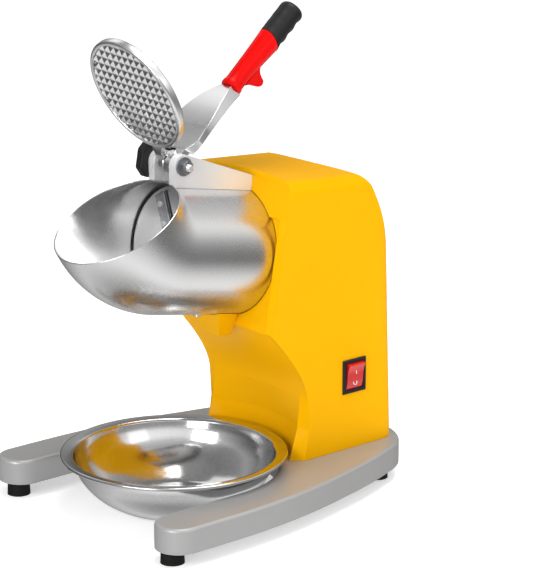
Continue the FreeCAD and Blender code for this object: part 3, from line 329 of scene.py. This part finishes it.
def steel(name, colour, roughness, stretch, scale, depth, contrast=0.12, strength=0.35,
          metallic=1.0):
    """Metal with a drawn grain: long scratches in one direction and a few smudges."""
    look = Look(name, edge=0.3, metallic=metallic)
    grain = look.noise(scale, 4.0, stretch, 0.65)
    smudge = look.noise(14.0, 3.0)
    drawn = look.colours(grain, (0.3, tint(colour, 1 - contrast)), (0.5, colour),
                         (0.72, tint(colour, 1.06)))
    look.feed("Base Color", drawn)
    mixed = look.node("Math", {0: look.spread(grain, -0.05, 0.05),
                               1: look.spread(smudge, roughness * 0.93, roughness * 1.1)},
                      operation="ADD").outputs[0]
    look.feed("Roughness", mixed)
    look.bump(grain, strength, depth)
    return look


def cast(name, colour, roughness, speckle=0.06):
    """Cast metal: sandy skin, slight mottling, a painted highlight on outer edges and painted shade
    in crevices.
    """
    look = Look(name, edge=0.4, metallic=1.0)
    sand = look.noise(900.0, 3.0)
    mottle = look.noise(45.0, 4.0)
    base = look.colours(mottle, (0.3, tint(colour, 1 - speckle)), (0.7, tint(colour, 1.04)))
    # painted highlight: outer edges lighter than the rest of the casting
    glint = look.node("MixRGB", {"Fac": look.edge_lightening(0.45), "Color1": base,
                                 "Color2": (*tint(colour, 1.25), 1.0)}).outputs[0]
    # painted shade: the base colour is darker in crevices and where parts meet
    look.feed("Base Color", look.painted_crevice_shade(glint, 3.0, 0.12))
    look.feed("Roughness", look.spread(mottle, roughness * 0.85, roughness * 1.15))
    look.bump(sand, 0.08, 0.02)
    look.bump(mottle, 0.06, 0.1)
    return look


def plastic(name, colour, roughness, grain=1400.0, depth=0.03, **values):
    """Moulded plastic: fine spark texture, uneven sheen, lighter outer edges."""
    look = Look(name, **values)
    spark = look.noise(grain, 2.0)
    haze = look.noise(25.0, 3.0)
    base = look.colours(haze, (0.3, tint(colour, 0.9)), (0.7, tint(colour, 1.05)))
    # outer edges of the plastic made lighter than the rest
    edge_lightened = look.node("MixRGB", {"Fac": look.edge_lightening(0.25), "Color1": base,
                                  "Color2": (*tint(colour, 1.6), 1.0)}).outputs[0]
    look.feed("Base Color", edge_lightened)
    look.feed("Roughness", look.spread(haze, roughness * 0.85, roughness * 1.15))
    look.bump(spark, 0.3, depth)
    return look


LOOKS = {
    "yellow_shell": painted("yellow_shell", (0.88, 0.43, 0.001), 0.24, 260.0, 0.04,
                            specular_ior_level=0.03),
    "silver_casting": painted("silver_casting", (0.42, 0.42, 0.42), 0.36, 2200.0, 0.03,
                              metallic=0.4),
    # painted reflection: a whiter, less metallic copy of the bright steel, only for the polished
    # pivot bracket, so it shows white
    "bracket_painted_reflection": painted("bracket_painted_reflection", (0.86, 0.86, 0.86), 0.3, 2200.0, 0.02,
                           metallic=0.35),
    "brushed_stainless": steel("brushed_stainless", (0.71, 0.71, 0.71), 0.27,
                               (0.03, 1.0, 1.0), 2600.0, 0.012, 0.10, strength=0.2),
    "mirror_stainless": steel("mirror_stainless", (0.60, 0.60, 0.60), 0.14,
                              (0.6, 0.6, 1.0), 700.0, 0.006, 0.05, strength=0.12),
    "bright_steel": steel("bright_steel", (0.82, 0.82, 0.82), 0.28,
                          (1.0, 0.05, 1.0), 3000.0, 0.004, 0.04, strength=0.04,
                          metallic=0.72),
    "blade_steel": steel("blade_steel", (0.62, 0.63, 0.66), 0.16,
                         (1.0, 1.0, 0.05), 3000.0, 0.01, 0.14, strength=0.3),
    "motor_steel": steel("motor_steel", (0.36, 0.37, 0.39), 0.40,
                         (1.0, 0.1, 1.0), 1500.0, 0.03, 0.2),
    "winding_copper": steel("winding_copper", (0.72, 0.30, 0.12), 0.32,
                            (0.15, 1.0, 1.0), 2400.0, 0.25, 0.35, strength=0.8),
    "brass_terminal": steel("brass_terminal", (0.75, 0.55, 0.22), 0.26,
                            (1.0, 0.1, 1.0), 1800.0, 0.015, 0.12),
    "cast_aluminium": cast("cast_aluminium", (0.78, 0.78, 0.78), 0.30),
    "black_plastic": plastic("black_plastic", (0.012, 0.012, 0.013), 0.5,
                             specular_ior_level=0.3),
    "white_plastic": plastic("white_plastic", (0.80, 0.80, 0.77), 0.40),
    "red_plastic": plastic("red_plastic", (0.70, 0.0015, 0.001), 0.3, 700.0, 0.02,
                           specular_ior_level=0.12),
    "switch_red": plastic("switch_red", (0.62, 0.008, 0.006), 0.18, 500.0, 0.02,
                          transmission_weight=0.15, coat_weight=0.5, coat_roughness=0.05),
    "black_rubber": plastic("black_rubber", (0.006, 0.006, 0.006), 0.62, 1100.0, 0.08,
                            specular_ior_level=0.2),
}
LOOKS = {name: look.material for name, look in LOOKS.items()}

for node in NODES.values():
    for spot in node.material_slots:
        spot.material = LOOKS[spot.material.name.split(".")[0]]
# painted shade: the nut and washer take the dark motor steel for the dark ring round the pivot; the
# bracket takes its whiter painted-reflection look
for name, look in (("pivot_nut", "motor_steel"), ("pivot_washer", "motor_steel"),
                   ("pivot_bracket", "bracket_painted_reflection")):
    NODES[name].material_slots[0].material = LOOKS[look]


# ---------------------------------------------------------------- bowl

def bowl_outline():
    outer = smooth_through([(44, 0), (52, 2.2), (68, 12), (80, 24.8), (86.2, 37), (88.6, 44.6)], 8)
    rim = [(90.2, 45.4), (96.6, 45.3)] + bend((96.8, 46.7), 1.55, -90, 110, 10) + [
        (95.0, 47.9), (90.0, 47.5)]
    inner = smooth_through([(87.4, 45.8), (85.0, 37.4), (78.9, 25.6), (67.1, 13.1), (51.5, 3.5),
                            (44, 1.2)], 8)
    return [(0, 0)] + outer + rim + inner + [(0, 1.2)]


BOWL_LOW, BOWL_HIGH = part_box("bowl")
bowl_middle = (BOWL_LOW + BOWL_HIGH) / 2
bowl = new_object("bowl_spun", Shape().lathe(bowl_outline(), 180),
                  sized(Matrix.Translation((bowl_middle.x, bowl_middle.y, 0))), 50)
ready(bowl, "mirror_stainless", "bowl", "bowl")

# ---------------------------------------------------------------- hopper

HOPPER_RADIUS = 56.5
HOPPER_WALL = 1.2
ELBOW_START = -4.6
ELBOW_DROP = 57.0
ELBOW_TURN = 52.0
OUTLET = (58.5, 76.5)
OUTLET_HALF = 7
RING_COUNT = 144


def hopper_ring(along, radius, turn=0.0, forward=0.0):
    """A ring of the hopper in the frame of the cutter axis, swung round the elbow."""
    ring = [Vector((radius * math.sin(2 * math.pi * j / RING_COUNT),
                    radius * math.cos(2 * math.pi * j / RING_COUNT), -forward))
            for j in range(RING_COUNT)]
    centre = Vector((0, -ELBOW_DROP, 0))
    swing = Matrix.Rotation(math.radians(-turn), 4, "X")
    return [swing @ (point - centre) + centre + Vector((0, 0, along)) for point in ring]


straight = [83.4, 80.0, OUTLET[1], 72.0, 66.0, 62.0, OUTLET[0], 50.0, 40.0, 30.0, 20.0, 10.0, 2.0]
turns = [ELBOW_TURN * i / 26 for i in range(27)]
inner_radius = HOPPER_RADIUS - HOPPER_WALL
rings = [hopper_ring(s, HOPPER_RADIUS) for s in straight]
rings += [hopper_ring(ELBOW_START, HOPPER_RADIUS, t) for t in turns]
rings += [hopper_ring(ELBOW_START, HOPPER_RADIUS + out, ELBOW_TURN, ahead)
          for out, ahead in ((0.0, 0.1), (-0.25, 0.4), (-0.6, 0.55), (-0.95, 0.4), (-1.2, 0.1))]
rings += [hopper_ring(ELBOW_START, inner_radius, t) for t in reversed(turns)]
rings += [hopper_ring(s, inner_radius) for s in reversed(straight)]
first_cut, last_cut = straight.index(OUTLET[1]), straight.index(OUTLET[0])
mirror_cut = len(rings) - 1


def in_outlet(i, j):
    beside = j < OUTLET_HALF or j >= RING_COUNT - OUTLET_HALF
    outside = first_cut <= i < last_cut
    inside = mirror_cut - last_cut <= i < mirror_cut - first_cut
    return beside and (outside or inside)


hopper = Shape().skin(rings, True, skip=in_outlet)
span = [j % RING_COUNT for j in range(-OUTLET_HALF, OUTLET_HALF + 1)]
for row in (first_cut, last_cut):
    for left, right in zip(span, span[1:]):
        low, high = row * RING_COUNT, (mirror_cut - row) * RING_COUNT
        hopper.faces.append([low + left, low + right, high + right, high + left])
for column in (span[0], span[-1]):
    for row in range(first_cut, last_cut):
        low, high = row * RING_COUNT, (mirror_cut - row) * RING_COUNT
        hopper.faces.append([low + column, low + RING_COUNT + column,
                             high - RING_COUNT + column, high + column])
hopper = new_object("hopper_rolled", hopper, on_axis(), 40)
# room for the plate's arm, as a drum on the lever pin
NOTCH_LEFT = -10.4
NOTCH_RIGHT = 3.6
NOTCH_RADIUS = 20.4
notch = Shape().lathe([(0, NOTCH_LEFT), (NOTCH_RADIUS, NOTCH_LEFT), (NOTCH_RADIUS, NOTCH_RIGHT),
                       (0, NOTCH_RIGHT)], 64, Matrix.Rotation(math.pi / 2, 4, "Y"))
combine(hopper, new_object("notch_cutter", notch, on_pivot(0)), "DIFFERENCE")
ready(hopper, "brushed_stainless", "machine", "hopper")

# ---------------------------------------------------------------- press plate

PLATE = on_pivot(PLATE_ANGLE)
PLATE_CENTRE = 72.0
PLATE_RADIUS = 51.8
PLATE_THICK = 7.5
DISH_RADIUS = 48.0
DISH_FLOOR = 5.1
STUD_PITCH = 7.4
STUD_HEIGHT = 2.0
STUD_TURN = -5.0

outline = [(0, 0)] + bend((PLATE_RADIUS - 2.0, 2.0), 2.0, -90, 0, 5)
outline += bend((PLATE_RADIUS - 1.8, PLATE_THICK - 1.8), 1.8, 0, 90, 5)
outline += bend((DISH_RADIUS + 0.7, PLATE_THICK - 0.7), 0.7, 90, 180, 3)
outline += [(DISH_RADIUS, DISH_FLOOR), (0, DISH_FLOOR)]
disc = Shape().lathe(outline, 128, Matrix.Translation((0, PLATE_CENTRE, 0)))
plate = new_object("plate_disc", disc, PLATE, 38)
ready(plate, "cast_aluminium", "lever", "press_plate")

STUDS_ACROSS = 14
STUD_SINK = 1.5


def stud_field():
    """A square block of pyramids, with their feet sunk in the dish floor, to be cut to a disc."""
    width = STUDS_ACROSS + 1
    corner = -STUDS_ACROSS * STUD_PITCH / 2
    places = [corner + i * STUD_PITCH for i in range(width)]
    points = [(x, y, DISH_FLOOR + 0.05) for y in places for x in places]
    points += [(x + STUD_PITCH / 2, y + STUD_PITCH / 2, DISH_FLOOR + STUD_HEIGHT)
               for y in places[:-1] for x in places[:-1]]
    faces = []
    for j in range(STUDS_ACROSS):
        for i in range(STUDS_ACROSS):
            start = j * width + i
            base = [start, start + 1, start + width + 1, start + width]
            tip = width * width + j * STUDS_ACROSS + i
            faces += [[base[k], base[(k + 1) % 4], tip] for k in range(4)]
    border = list(range(width)) + [j * width + STUDS_ACROSS for j in range(1, width)]
    border += [STUDS_ACROSS * width + i for i in range(STUDS_ACROSS - 1, -1, -1)]
    border += [j * width for j in range(STUDS_ACROSS - 1, 0, -1)]
    below = len(points)
    points += [(points[k][0], points[k][1], DISH_FLOOR - STUD_SINK) for k in border]
    for k in range(len(border)):
        after = (k + 1) % len(border)
        faces.append([border[k], below + k, below + after, border[after]])
    faces.append([below + k for k in range(len(border))])
    turned = Matrix.Translation((0, PLATE_CENTRE, 0)) @ Matrix.Rotation(
        math.radians(STUD_TURN), 4, "Z")
    return Shape().add(points, faces, turned)


field = new_object("plate_studs", stud_field(), PLATE, 20)
limit = Shape().skin([circle(DISH_RADIUS - 0.05, 128, z, (0, PLATE_CENTRE))
                      for z in (DISH_FLOOR - 1.0, DISH_FLOOR + 6.0)])
combine(field, new_object("stud_limit", limit, PLATE), "INTERSECT")
ready(field, "cast_aluminium", "lever")

KNUCKLE_RADIUS = 8.0
PIN_RADIUS = 3.05
HALF_GAP = 0.25
EAR_INNER = 10.0


def knuckle(shape, low, high, radius=KNUCKLE_RADIUS):
    """A round eye on the pin, with a small bevel on each face."""
    turned_x = Matrix.Rotation(math.pi / 2, 4, "Y")
    rim = [(PIN_RADIUS, low), (radius - 0.7, low), (radius, low + 0.7),
           (radius, high - 0.7), (radius - 0.7, high), (PIN_RADIUS, high)]
    return shape.lathe(rim, 48, turned_x)


plate_width = EAR_INNER - HALF_GAP
hinge = knuckle(Shape(), -plate_width, -HALF_GAP)
stem = [(-plate_width, 5.5), (-HALF_GAP, 5.5), (-HALF_GAP, 13), (2.5, 17), (8.5, 25),
        (-8.5, 25), (-plate_width, 17)]
hinge.slab(stem, 0.2, 4.6)
stem = new_object("plate_stem", hinge, PLATE, 30)
soften(stem, 0.5)
ready(stem, "cast_aluminium", "lever")

# ---------------------------------------------------------------- lever

LEVER = on_pivot(LEVER_ANGLE)
LEVER_WALL = 2.5
LEVER_WIDEST = 35.0
LEVER_END = 85.2
# along the arm, then top and bottom half-widths on the right and on the left, top z, bottom z
LEVER_ROOT = [
    (13.0, 11.0, 17.5, 11.0, 15.0, 5.6, -0.2),
    (18.5, 17.0, 20.5, 15.5, 17.6, 6.4, 0.6),
    (23.5, 22.2, 23.4, 21.8, 23.0, 8.0, 2.6),
]


def lever_taper(share):
    """A row of the channel, from its widest place to the grip, that thins ever faster."""
    along = LEVER_WIDEST + (LEVER_END - LEVER_WIDEST) * share
    top_half = 23.6 - 17.2 * share ** 1.6
    low_half = top_half + 1.2 + 1.2 * share
    top = 10.6 - 7.0 * share ** 2.8
    return (along, top_half, low_half, top_half, low_half, top, 4.4 - 12.6 * share ** 2)


def lever_ring(row):
    along, top_right, low_right, top_left, low_left, top, low = row
    corners = [(-low_left, low), (-top_left, top), (top_right, top), (low_right, low),
               (low_right - LEVER_WALL, low), (top_right - LEVER_WALL * 0.8, top - LEVER_WALL),
               (-top_left + LEVER_WALL * 0.8, top - LEVER_WALL), (-low_left + LEVER_WALL, low)]
    return [(x, along, z) for x, z in corners]


taper = [lever_taper(i / 24) for i in range(25)]
bridge = smooth_through([LEVER_ROOT[-1], taper[0]], 4)[1:-1]
channel = Shape().skin([lever_ring(row) for row in LEVER_ROOT + bridge + taper])
channel = new_object("lever_channel", channel, LEVER, 30)
soften(channel, 0.5, 3, 28)
ready(channel, "cast_aluminium", "lever", "lever_arm")

eye = knuckle(Shape(), HALF_GAP, EAR_INNER - HALF_GAP)
neck = [(5.0, -5.0), (18.5, -1.0), (18.5, 5.1), (5.0, 5.1)]
eye.across(neck, HALF_GAP + 0.05, EAR_INNER - HALF_GAP - 0.05)
eye = new_object("lever_eye", eye, LEVER, 30)
soften(eye, 0.4)
ready(eye, "cast_aluminium", "lever")

# ---------------------------------------------------------------- grip

GRIP_Z = -3.0
GRIP_START = LEVER_END
GRIP_SPLIT = 142.0
GRIP_END = 180.0
GRIP_SLANT = 3.4
GRIP_TIP_ROUND = 5.0
FINGER_PITCH = 11.0
BLACK_STEPS = 38
SIDES = 64


def grip_ring(along, radius, flatten=0.0, drop=0.0, slant=0.0):
    """A ring of the grip: round on top, pressed in underneath where fingers lie."""
    ring = []
    for j in range(SIDES):
        turn = 2 * math.pi * j / SIDES
        under = max(0.0, -math.sin(turn)) ** 2
        reach = radius - flatten * under
        height = reach * math.sin(turn)
        ring.append((reach * math.cos(turn), along + slant * math.sin(turn),
                     GRIP_Z + drop + height))
    return ring


# along the sleeve, radius and how far its middle is above that of the black grip
red_rows = [(0.0, 6.9, 1.3), (0.1, 8.4, 1.3), (0.6, 9.1, 1.3), (1.5, 9.3, 1.3), (3.8, 9.3, 1.3),
            (4.8, 9.0, 1.3), (6.0, 8.5, 1.4), (14.0, 8.5, 1.4), (24.0, 8.8, 1.2),
            (34.0, 9.3, 0.8), (44.0, 9.9, 0.3), (51.0, 10.4, 0.0)]
red = Shape().skin([grip_ring(GRIP_START + along, radius, 0, rise)
                    for along, radius, rise in red_rows]
                   + [grip_ring(GRIP_SPLIT - 0.4, 10.7, 0, 0, GRIP_SLANT),
                      grip_ring(GRIP_SPLIT - 0.1, 10.1, 0, 0, GRIP_SLANT)])
red = new_object("grip_red_sleeve", red, LEVER, 40)
hook_outline = smooth_through([(96.0, -9.0), (100.5, -13.0), (103.5, -18.5), (106.0, -21.6),
                               (109.2, -22.8), (112.4, -21.0), (113.2, -17.0), (115.0, -12.6),
                               (119.0, -9.0)], 4)
hook = new_object("grip_hook", Shape().across(hook_outline, -5.2, 5.2), LEVER, 40)
soften(hook, 1.6, 4, 30)
ready(red, "red_plastic", "lever", "grip_red")
ready(hook, "red_plastic", "lever")

black_rows = []
for i in range(BLACK_STEPS + 1):
    along = GRIP_SPLIT + 0.15 + (GRIP_END - GRIP_TIP_ROUND - GRIP_SPLIT) * i / BLACK_STEPS
    groove = 1.0 - math.cos(2 * math.pi * (along - GRIP_SPLIT) / FINGER_PITCH)
    black_rows.append(grip_ring(along, 10.9 - 0.05 * groove, 0.75 * groove, 0.0,
                                GRIP_SLANT * (1 - i / BLACK_STEPS)))
for turn in range(15, 91, 15):
    around = math.radians(turn)
    black_rows.append(grip_ring(GRIP_END - GRIP_TIP_ROUND + GRIP_TIP_ROUND * math.sin(around),
                                5.9 + GRIP_TIP_ROUND * math.cos(around)))
black = new_object("grip_black_sleeve", Shape().skin(black_rows), LEVER, 40)
ready(black, "black_plastic", "lever", "grip_black")

# ---------------------------------------------------------------- safety switch cover

GUARD = on_pivot(-LEAN)
guard_outline = [(-9.7, -15.2), (25.3, -15.2), (29.3, -11.2), (29.3, 5.8), (13.9, 13.5),
                 (1.5, 14.8), (-11.8, 14.8), (-16.7, 7.8), (-16.7, -8.2)]
cover = new_object("guard_cover", Shape().across(guard_outline, -25.8, -17.3), GUARD, 30)
soften(cover, 1.3, 3, 25)
ready(cover, "black_plastic", "machine", "interlock_guard")

# ---------------------------------------------------------------- rocker switch

ROCKER = Vector(JOINTS["rocker_tilt"]["pos_m"]) / MM
ROCKER_WIDE = 9.3
side = ([(-12.2, -0.9), (-11.6, 0.56)] + [
    (up, 2.58 + (0.0125 if up < 0 else 0.0254) * up * abs(up) + (0.045 if up < 0 else 0.0) * up)
    for up in (-9.0, -6.0, -3.0, 0.0, 3.0, 6.0, 9.0)]
    + [(10.6, 5.4), (10.9, 5.5), (12.1, 2.18), (12.24, -0.56), (11.0, -5.0), (4.0, -7.0),
       (-4.0, -7.0), (-11.0, -5.0)])
rocker_place = at(ROCKER.x, ROCKER.y, ROCKER.z)
cap = Shape().skin([[(out, across_y, up) for up, out in side]
                    for across_y in (-ROCKER_WIDE, ROCKER_WIDE)])
rocker = new_object("rocker_cap", cap, rocker_place, 30)
soften(rocker, 0.6, 3, 25)
ready(rocker, "switch_red", "rocker", "rocker_button")

marks = Shape()
LOW_SLOPE = math.radians(11)
HIGH_SLOPE = math.radians(14)
MARK_THICK = 0.35


def on_rocker(up, out, slope):
    return (Matrix.Translation((out, 0, up)) @ Matrix.Rotation(-slope, 4, "Y")
            @ Matrix.Rotation(math.pi / 2, 4, "Y"))


marks.lathe([(1.7, 0), (2.3, 0), (2.3, MARK_THICK), (1.7, MARK_THICK)], 40,
            on_rocker(-6.0, 1.83, LOW_SLOPE))
marks.slab([(-2.3, -0.35), (2.3, -0.35), (2.3, 0.35), (-2.3, 0.35)], 0, MARK_THICK,
           on_rocker(4.6, 3.1, HIGH_SLOPE))
marks = new_object("rocker_marks", marks, rocker_place, 30)
ready(marks, "white_plastic", "rocker")

BEZEL_DEPTH = 19.0
BEZEL_LIP = 3.6
BEZEL_WALL = 2.6
BEZEL_REACH = 15.0
frame_low, frame_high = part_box("rocker_frame")
low_corner, high_corner = frame_low / MM, frame_high / MM
face_x = low_corner.x + BEZEL_DEPTH
bezel = Shape()
middle_y, middle_z = (low_corner.y + high_corner.y) / 2, (low_corner.z + high_corner.z) / 2


def bezel_ring(out, inset):
    wide = (high_corner.y - low_corner.y) / 2 - inset
    tall = (high_corner.z - low_corner.z) / 2 - inset
    return [(out, middle_y - wide, middle_z - tall), (out, middle_y + wide, middle_z - tall),
            (out, middle_y + wide, middle_z + tall), (out, middle_y - wide, middle_z + tall)]


bezel.skin([bezel_ring(face_x + 0.1, 0.0), bezel_ring(face_x + 1.0, 0.0),
            bezel_ring(high_corner.x, 1.0), bezel_ring(high_corner.x, 3.0),
            bezel_ring(high_corner.x - 1.2, BEZEL_LIP), bezel_ring(face_x - BEZEL_REACH, BEZEL_LIP),
            bezel_ring(face_x - BEZEL_REACH, BEZEL_WALL),
            bezel_ring(face_x + 0.1, BEZEL_WALL)], True)
bezel = new_object("switch_bezel", bezel, sized(Matrix.Identity(4)), 30)
soften(bezel, 0.35, 2, 30)
ready(bezel, "black_plastic", "machine", "rocker_frame")

# ---------------------------------------------------------------- pivot hardware

THREAD_START = 18.0
THREAD_PITCH = 0.8
bolt_end = Shape()
turned_x = Matrix.Rotation(math.pi / 2, 4, "Y")
bolt_low, bolt_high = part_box("pivot_bolt")
start_x, end_x = bolt_low.x / MM, bolt_high.x / MM
thread = [(0.0, start_x), (2.4, start_x), (3.0, start_x + 0.6), (3.0, THREAD_START)]
for i in range(int((end_x - THREAD_PITCH - THREAD_START) / THREAD_PITCH)):
    thread += [(2.98, THREAD_START + 0.1 + i * THREAD_PITCH),
               (2.55, THREAD_START + 0.5 + i * THREAD_PITCH)]
thread += [(2.95, end_x - 0.9), (2.3, end_x), (0.0, end_x)]
bolt_end.lathe(thread, 40, turned_x)
bolt = new_object("pivot_pin", bolt_end, on_pivot(LEVER_ANGLE), 30)
ready(bolt, "bright_steel", "lever", "pivot_bolt")


# ---------------------------------------------------------------- stage, light and camera

def area_light(name, place, target, wide, tall, power):
    data = bpy.data.lights.new(name, "AREA")
    data.shape = "RECTANGLE"
    data.size, data.size_y = wide, tall
    data.energy = power
    lamp = bpy.data.objects.new(name, data)
    lamp.location = place
    lamp.rotation_euler = (Vector(target) - Vector(place)).to_track_quat("-Z", "Y").to_euler()
    scene.collection.objects.link(lamp)


scene = bpy.context.scene
scene.view_settings.view_transform = "Standard"
floor_mesh = bpy.data.meshes.new("floor")
reach = 12.0
floor_mesh.from_pydata([(-reach, -reach, 0), (reach, -reach, 0), (reach, reach, 0),
                        (-reach, reach, 0)], [], [(0, 1, 2, 3)])
floor = bpy.data.objects.new("floor", floor_mesh)
scene.collection.objects.link(floor)
paper = Look("floor", roughness=0.9, specular_ior_level=0.1)
paper.feed("Base Color", paper.colours(paper.noise(3.0), (0.3, (0.93, 0.93, 0.93)),
                                       (0.7, (0.95, 0.95, 0.95))))
paper.shader.inputs["Emission Color"].default_value = (1, 1, 1, 1)
paper.shader.inputs["Emission Strength"].default_value = 0.42
floor_mesh.materials.append(paper.material)
floor.visible_glossy = False
floor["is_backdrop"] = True

# height of the direction, from straight down at -1 to straight up at 1, and its brightness
SKY = ((-1.0, 0.25), (-0.78, 0.72), (-0.55, 0.52), (-0.27, 0.10), (-0.05, 0.14),
       (0.18, 0.30), (0.48, 1.00), (0.62, 0.70), (0.85, 0.55), (1.0, 0.80))
SKY_STRENGTH = 1.15
# how far to the right and down a direction points, and what that makes of its brightness
SIDE_RANGE = (-0.9, 0.9)
SIDE_BRIGHTNESS = (0.42, 1.5)
SIDE_DROP = -0.8


def studio_sky(world):
    """Bands of grey by height, dimmer to the upper left, as soft boxes round a table give."""
    world.use_nodes = True
    tree = world.node_tree
    background = tree.nodes["Background"]
    direction = tree.nodes.new("ShaderNodeTexCoord")
    split = tree.nodes.new("ShaderNodeSeparateXYZ")
    height = tree.nodes.new("ShaderNodeMapRange")
    height.inputs["From Min"].default_value = -1.0
    ramp = tree.nodes.new("ShaderNodeValToRGB")
    lean = tree.nodes.new("ShaderNodeMath")
    lean.operation = "MULTIPLY_ADD"
    lean.inputs[1].default_value = SIDE_DROP
    sideways = tree.nodes.new("ShaderNodeMapRange")
    for field, value in zip(("From Min", "From Max", "To Min", "To Max"),
                            SIDE_RANGE + SIDE_BRIGHTNESS):
        sideways.inputs[field].default_value = value
    shade = tree.nodes.new("ShaderNodeVectorMath")
    shade.operation = "SCALE"
    tree.links.new(direction.outputs["Generated"], split.inputs[0])
    tree.links.new(split.outputs["Z"], height.inputs["Value"])
    tree.links.new(split.outputs["Z"], lean.inputs[0])
    tree.links.new(split.outputs["X"], lean.inputs[2])
    tree.links.new(lean.outputs[0], sideways.inputs["Value"])
    tree.links.new(height.outputs[0], ramp.inputs["Fac"])
    tree.links.new(ramp.outputs["Color"], shade.inputs[0])
    tree.links.new(sideways.outputs[0], shade.inputs["Scale"])
    tree.links.new(shade.outputs[0], background.inputs["Color"])
    while len(ramp.color_ramp.elements) < len(SKY):
        ramp.color_ramp.elements.new(0.5)
    for element, (level, grey) in zip(ramp.color_ramp.elements, SKY):
        element.position = (level + 1.0) / 2.0
        element.color = (grey, grey, grey, 1)
    background.inputs["Strength"].default_value = SKY_STRENGTH


scene.world = bpy.data.worlds.new("studio")
studio_sky(scene.world)

area_light("left", (-1.75, 0.35, 1.9), (0, 0, 0.3), 0.9, 0.9, 2.5)
area_light("front", (0.5, -2.6, 1.6), (0, 0, 0.2), 1.4, 0.8, 25)
area_light("fill", (1.0, -2.3, 0.45), (0, 0, 0.12), 0.9, 0.5, 13)
area_light("side", (2.6, 0.3, 1.3), (0, 0, 0.2), 1.2, 1.0, 2)
area_light("top", (0.3, 0.4, 2.5), (0, 0, 0.2), 1.4, 1.4, 33)

LENS = 156.8
SENSOR = 36.0
CAMERA_PLACE = (1.5873, -1.3129, 0.7472)
CAMERA_DIP = 15.23
CAMERA_TURN = 49.16
camera_data = bpy.data.cameras.new("camera")
camera_data.lens = LENS
camera_data.sensor_width = SENSOR
camera_data.clip_start = 0.1
camera_data.clip_end = 50.0
camera = bpy.data.objects.new("camera", camera_data)
camera.location = CAMERA_PLACE
camera.rotation_euler = (math.radians(90 - CAMERA_DIP), 0.0, math.radians(CAMERA_TURN))
scene.collection.objects.link(camera)
scene.camera = camera

low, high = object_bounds()
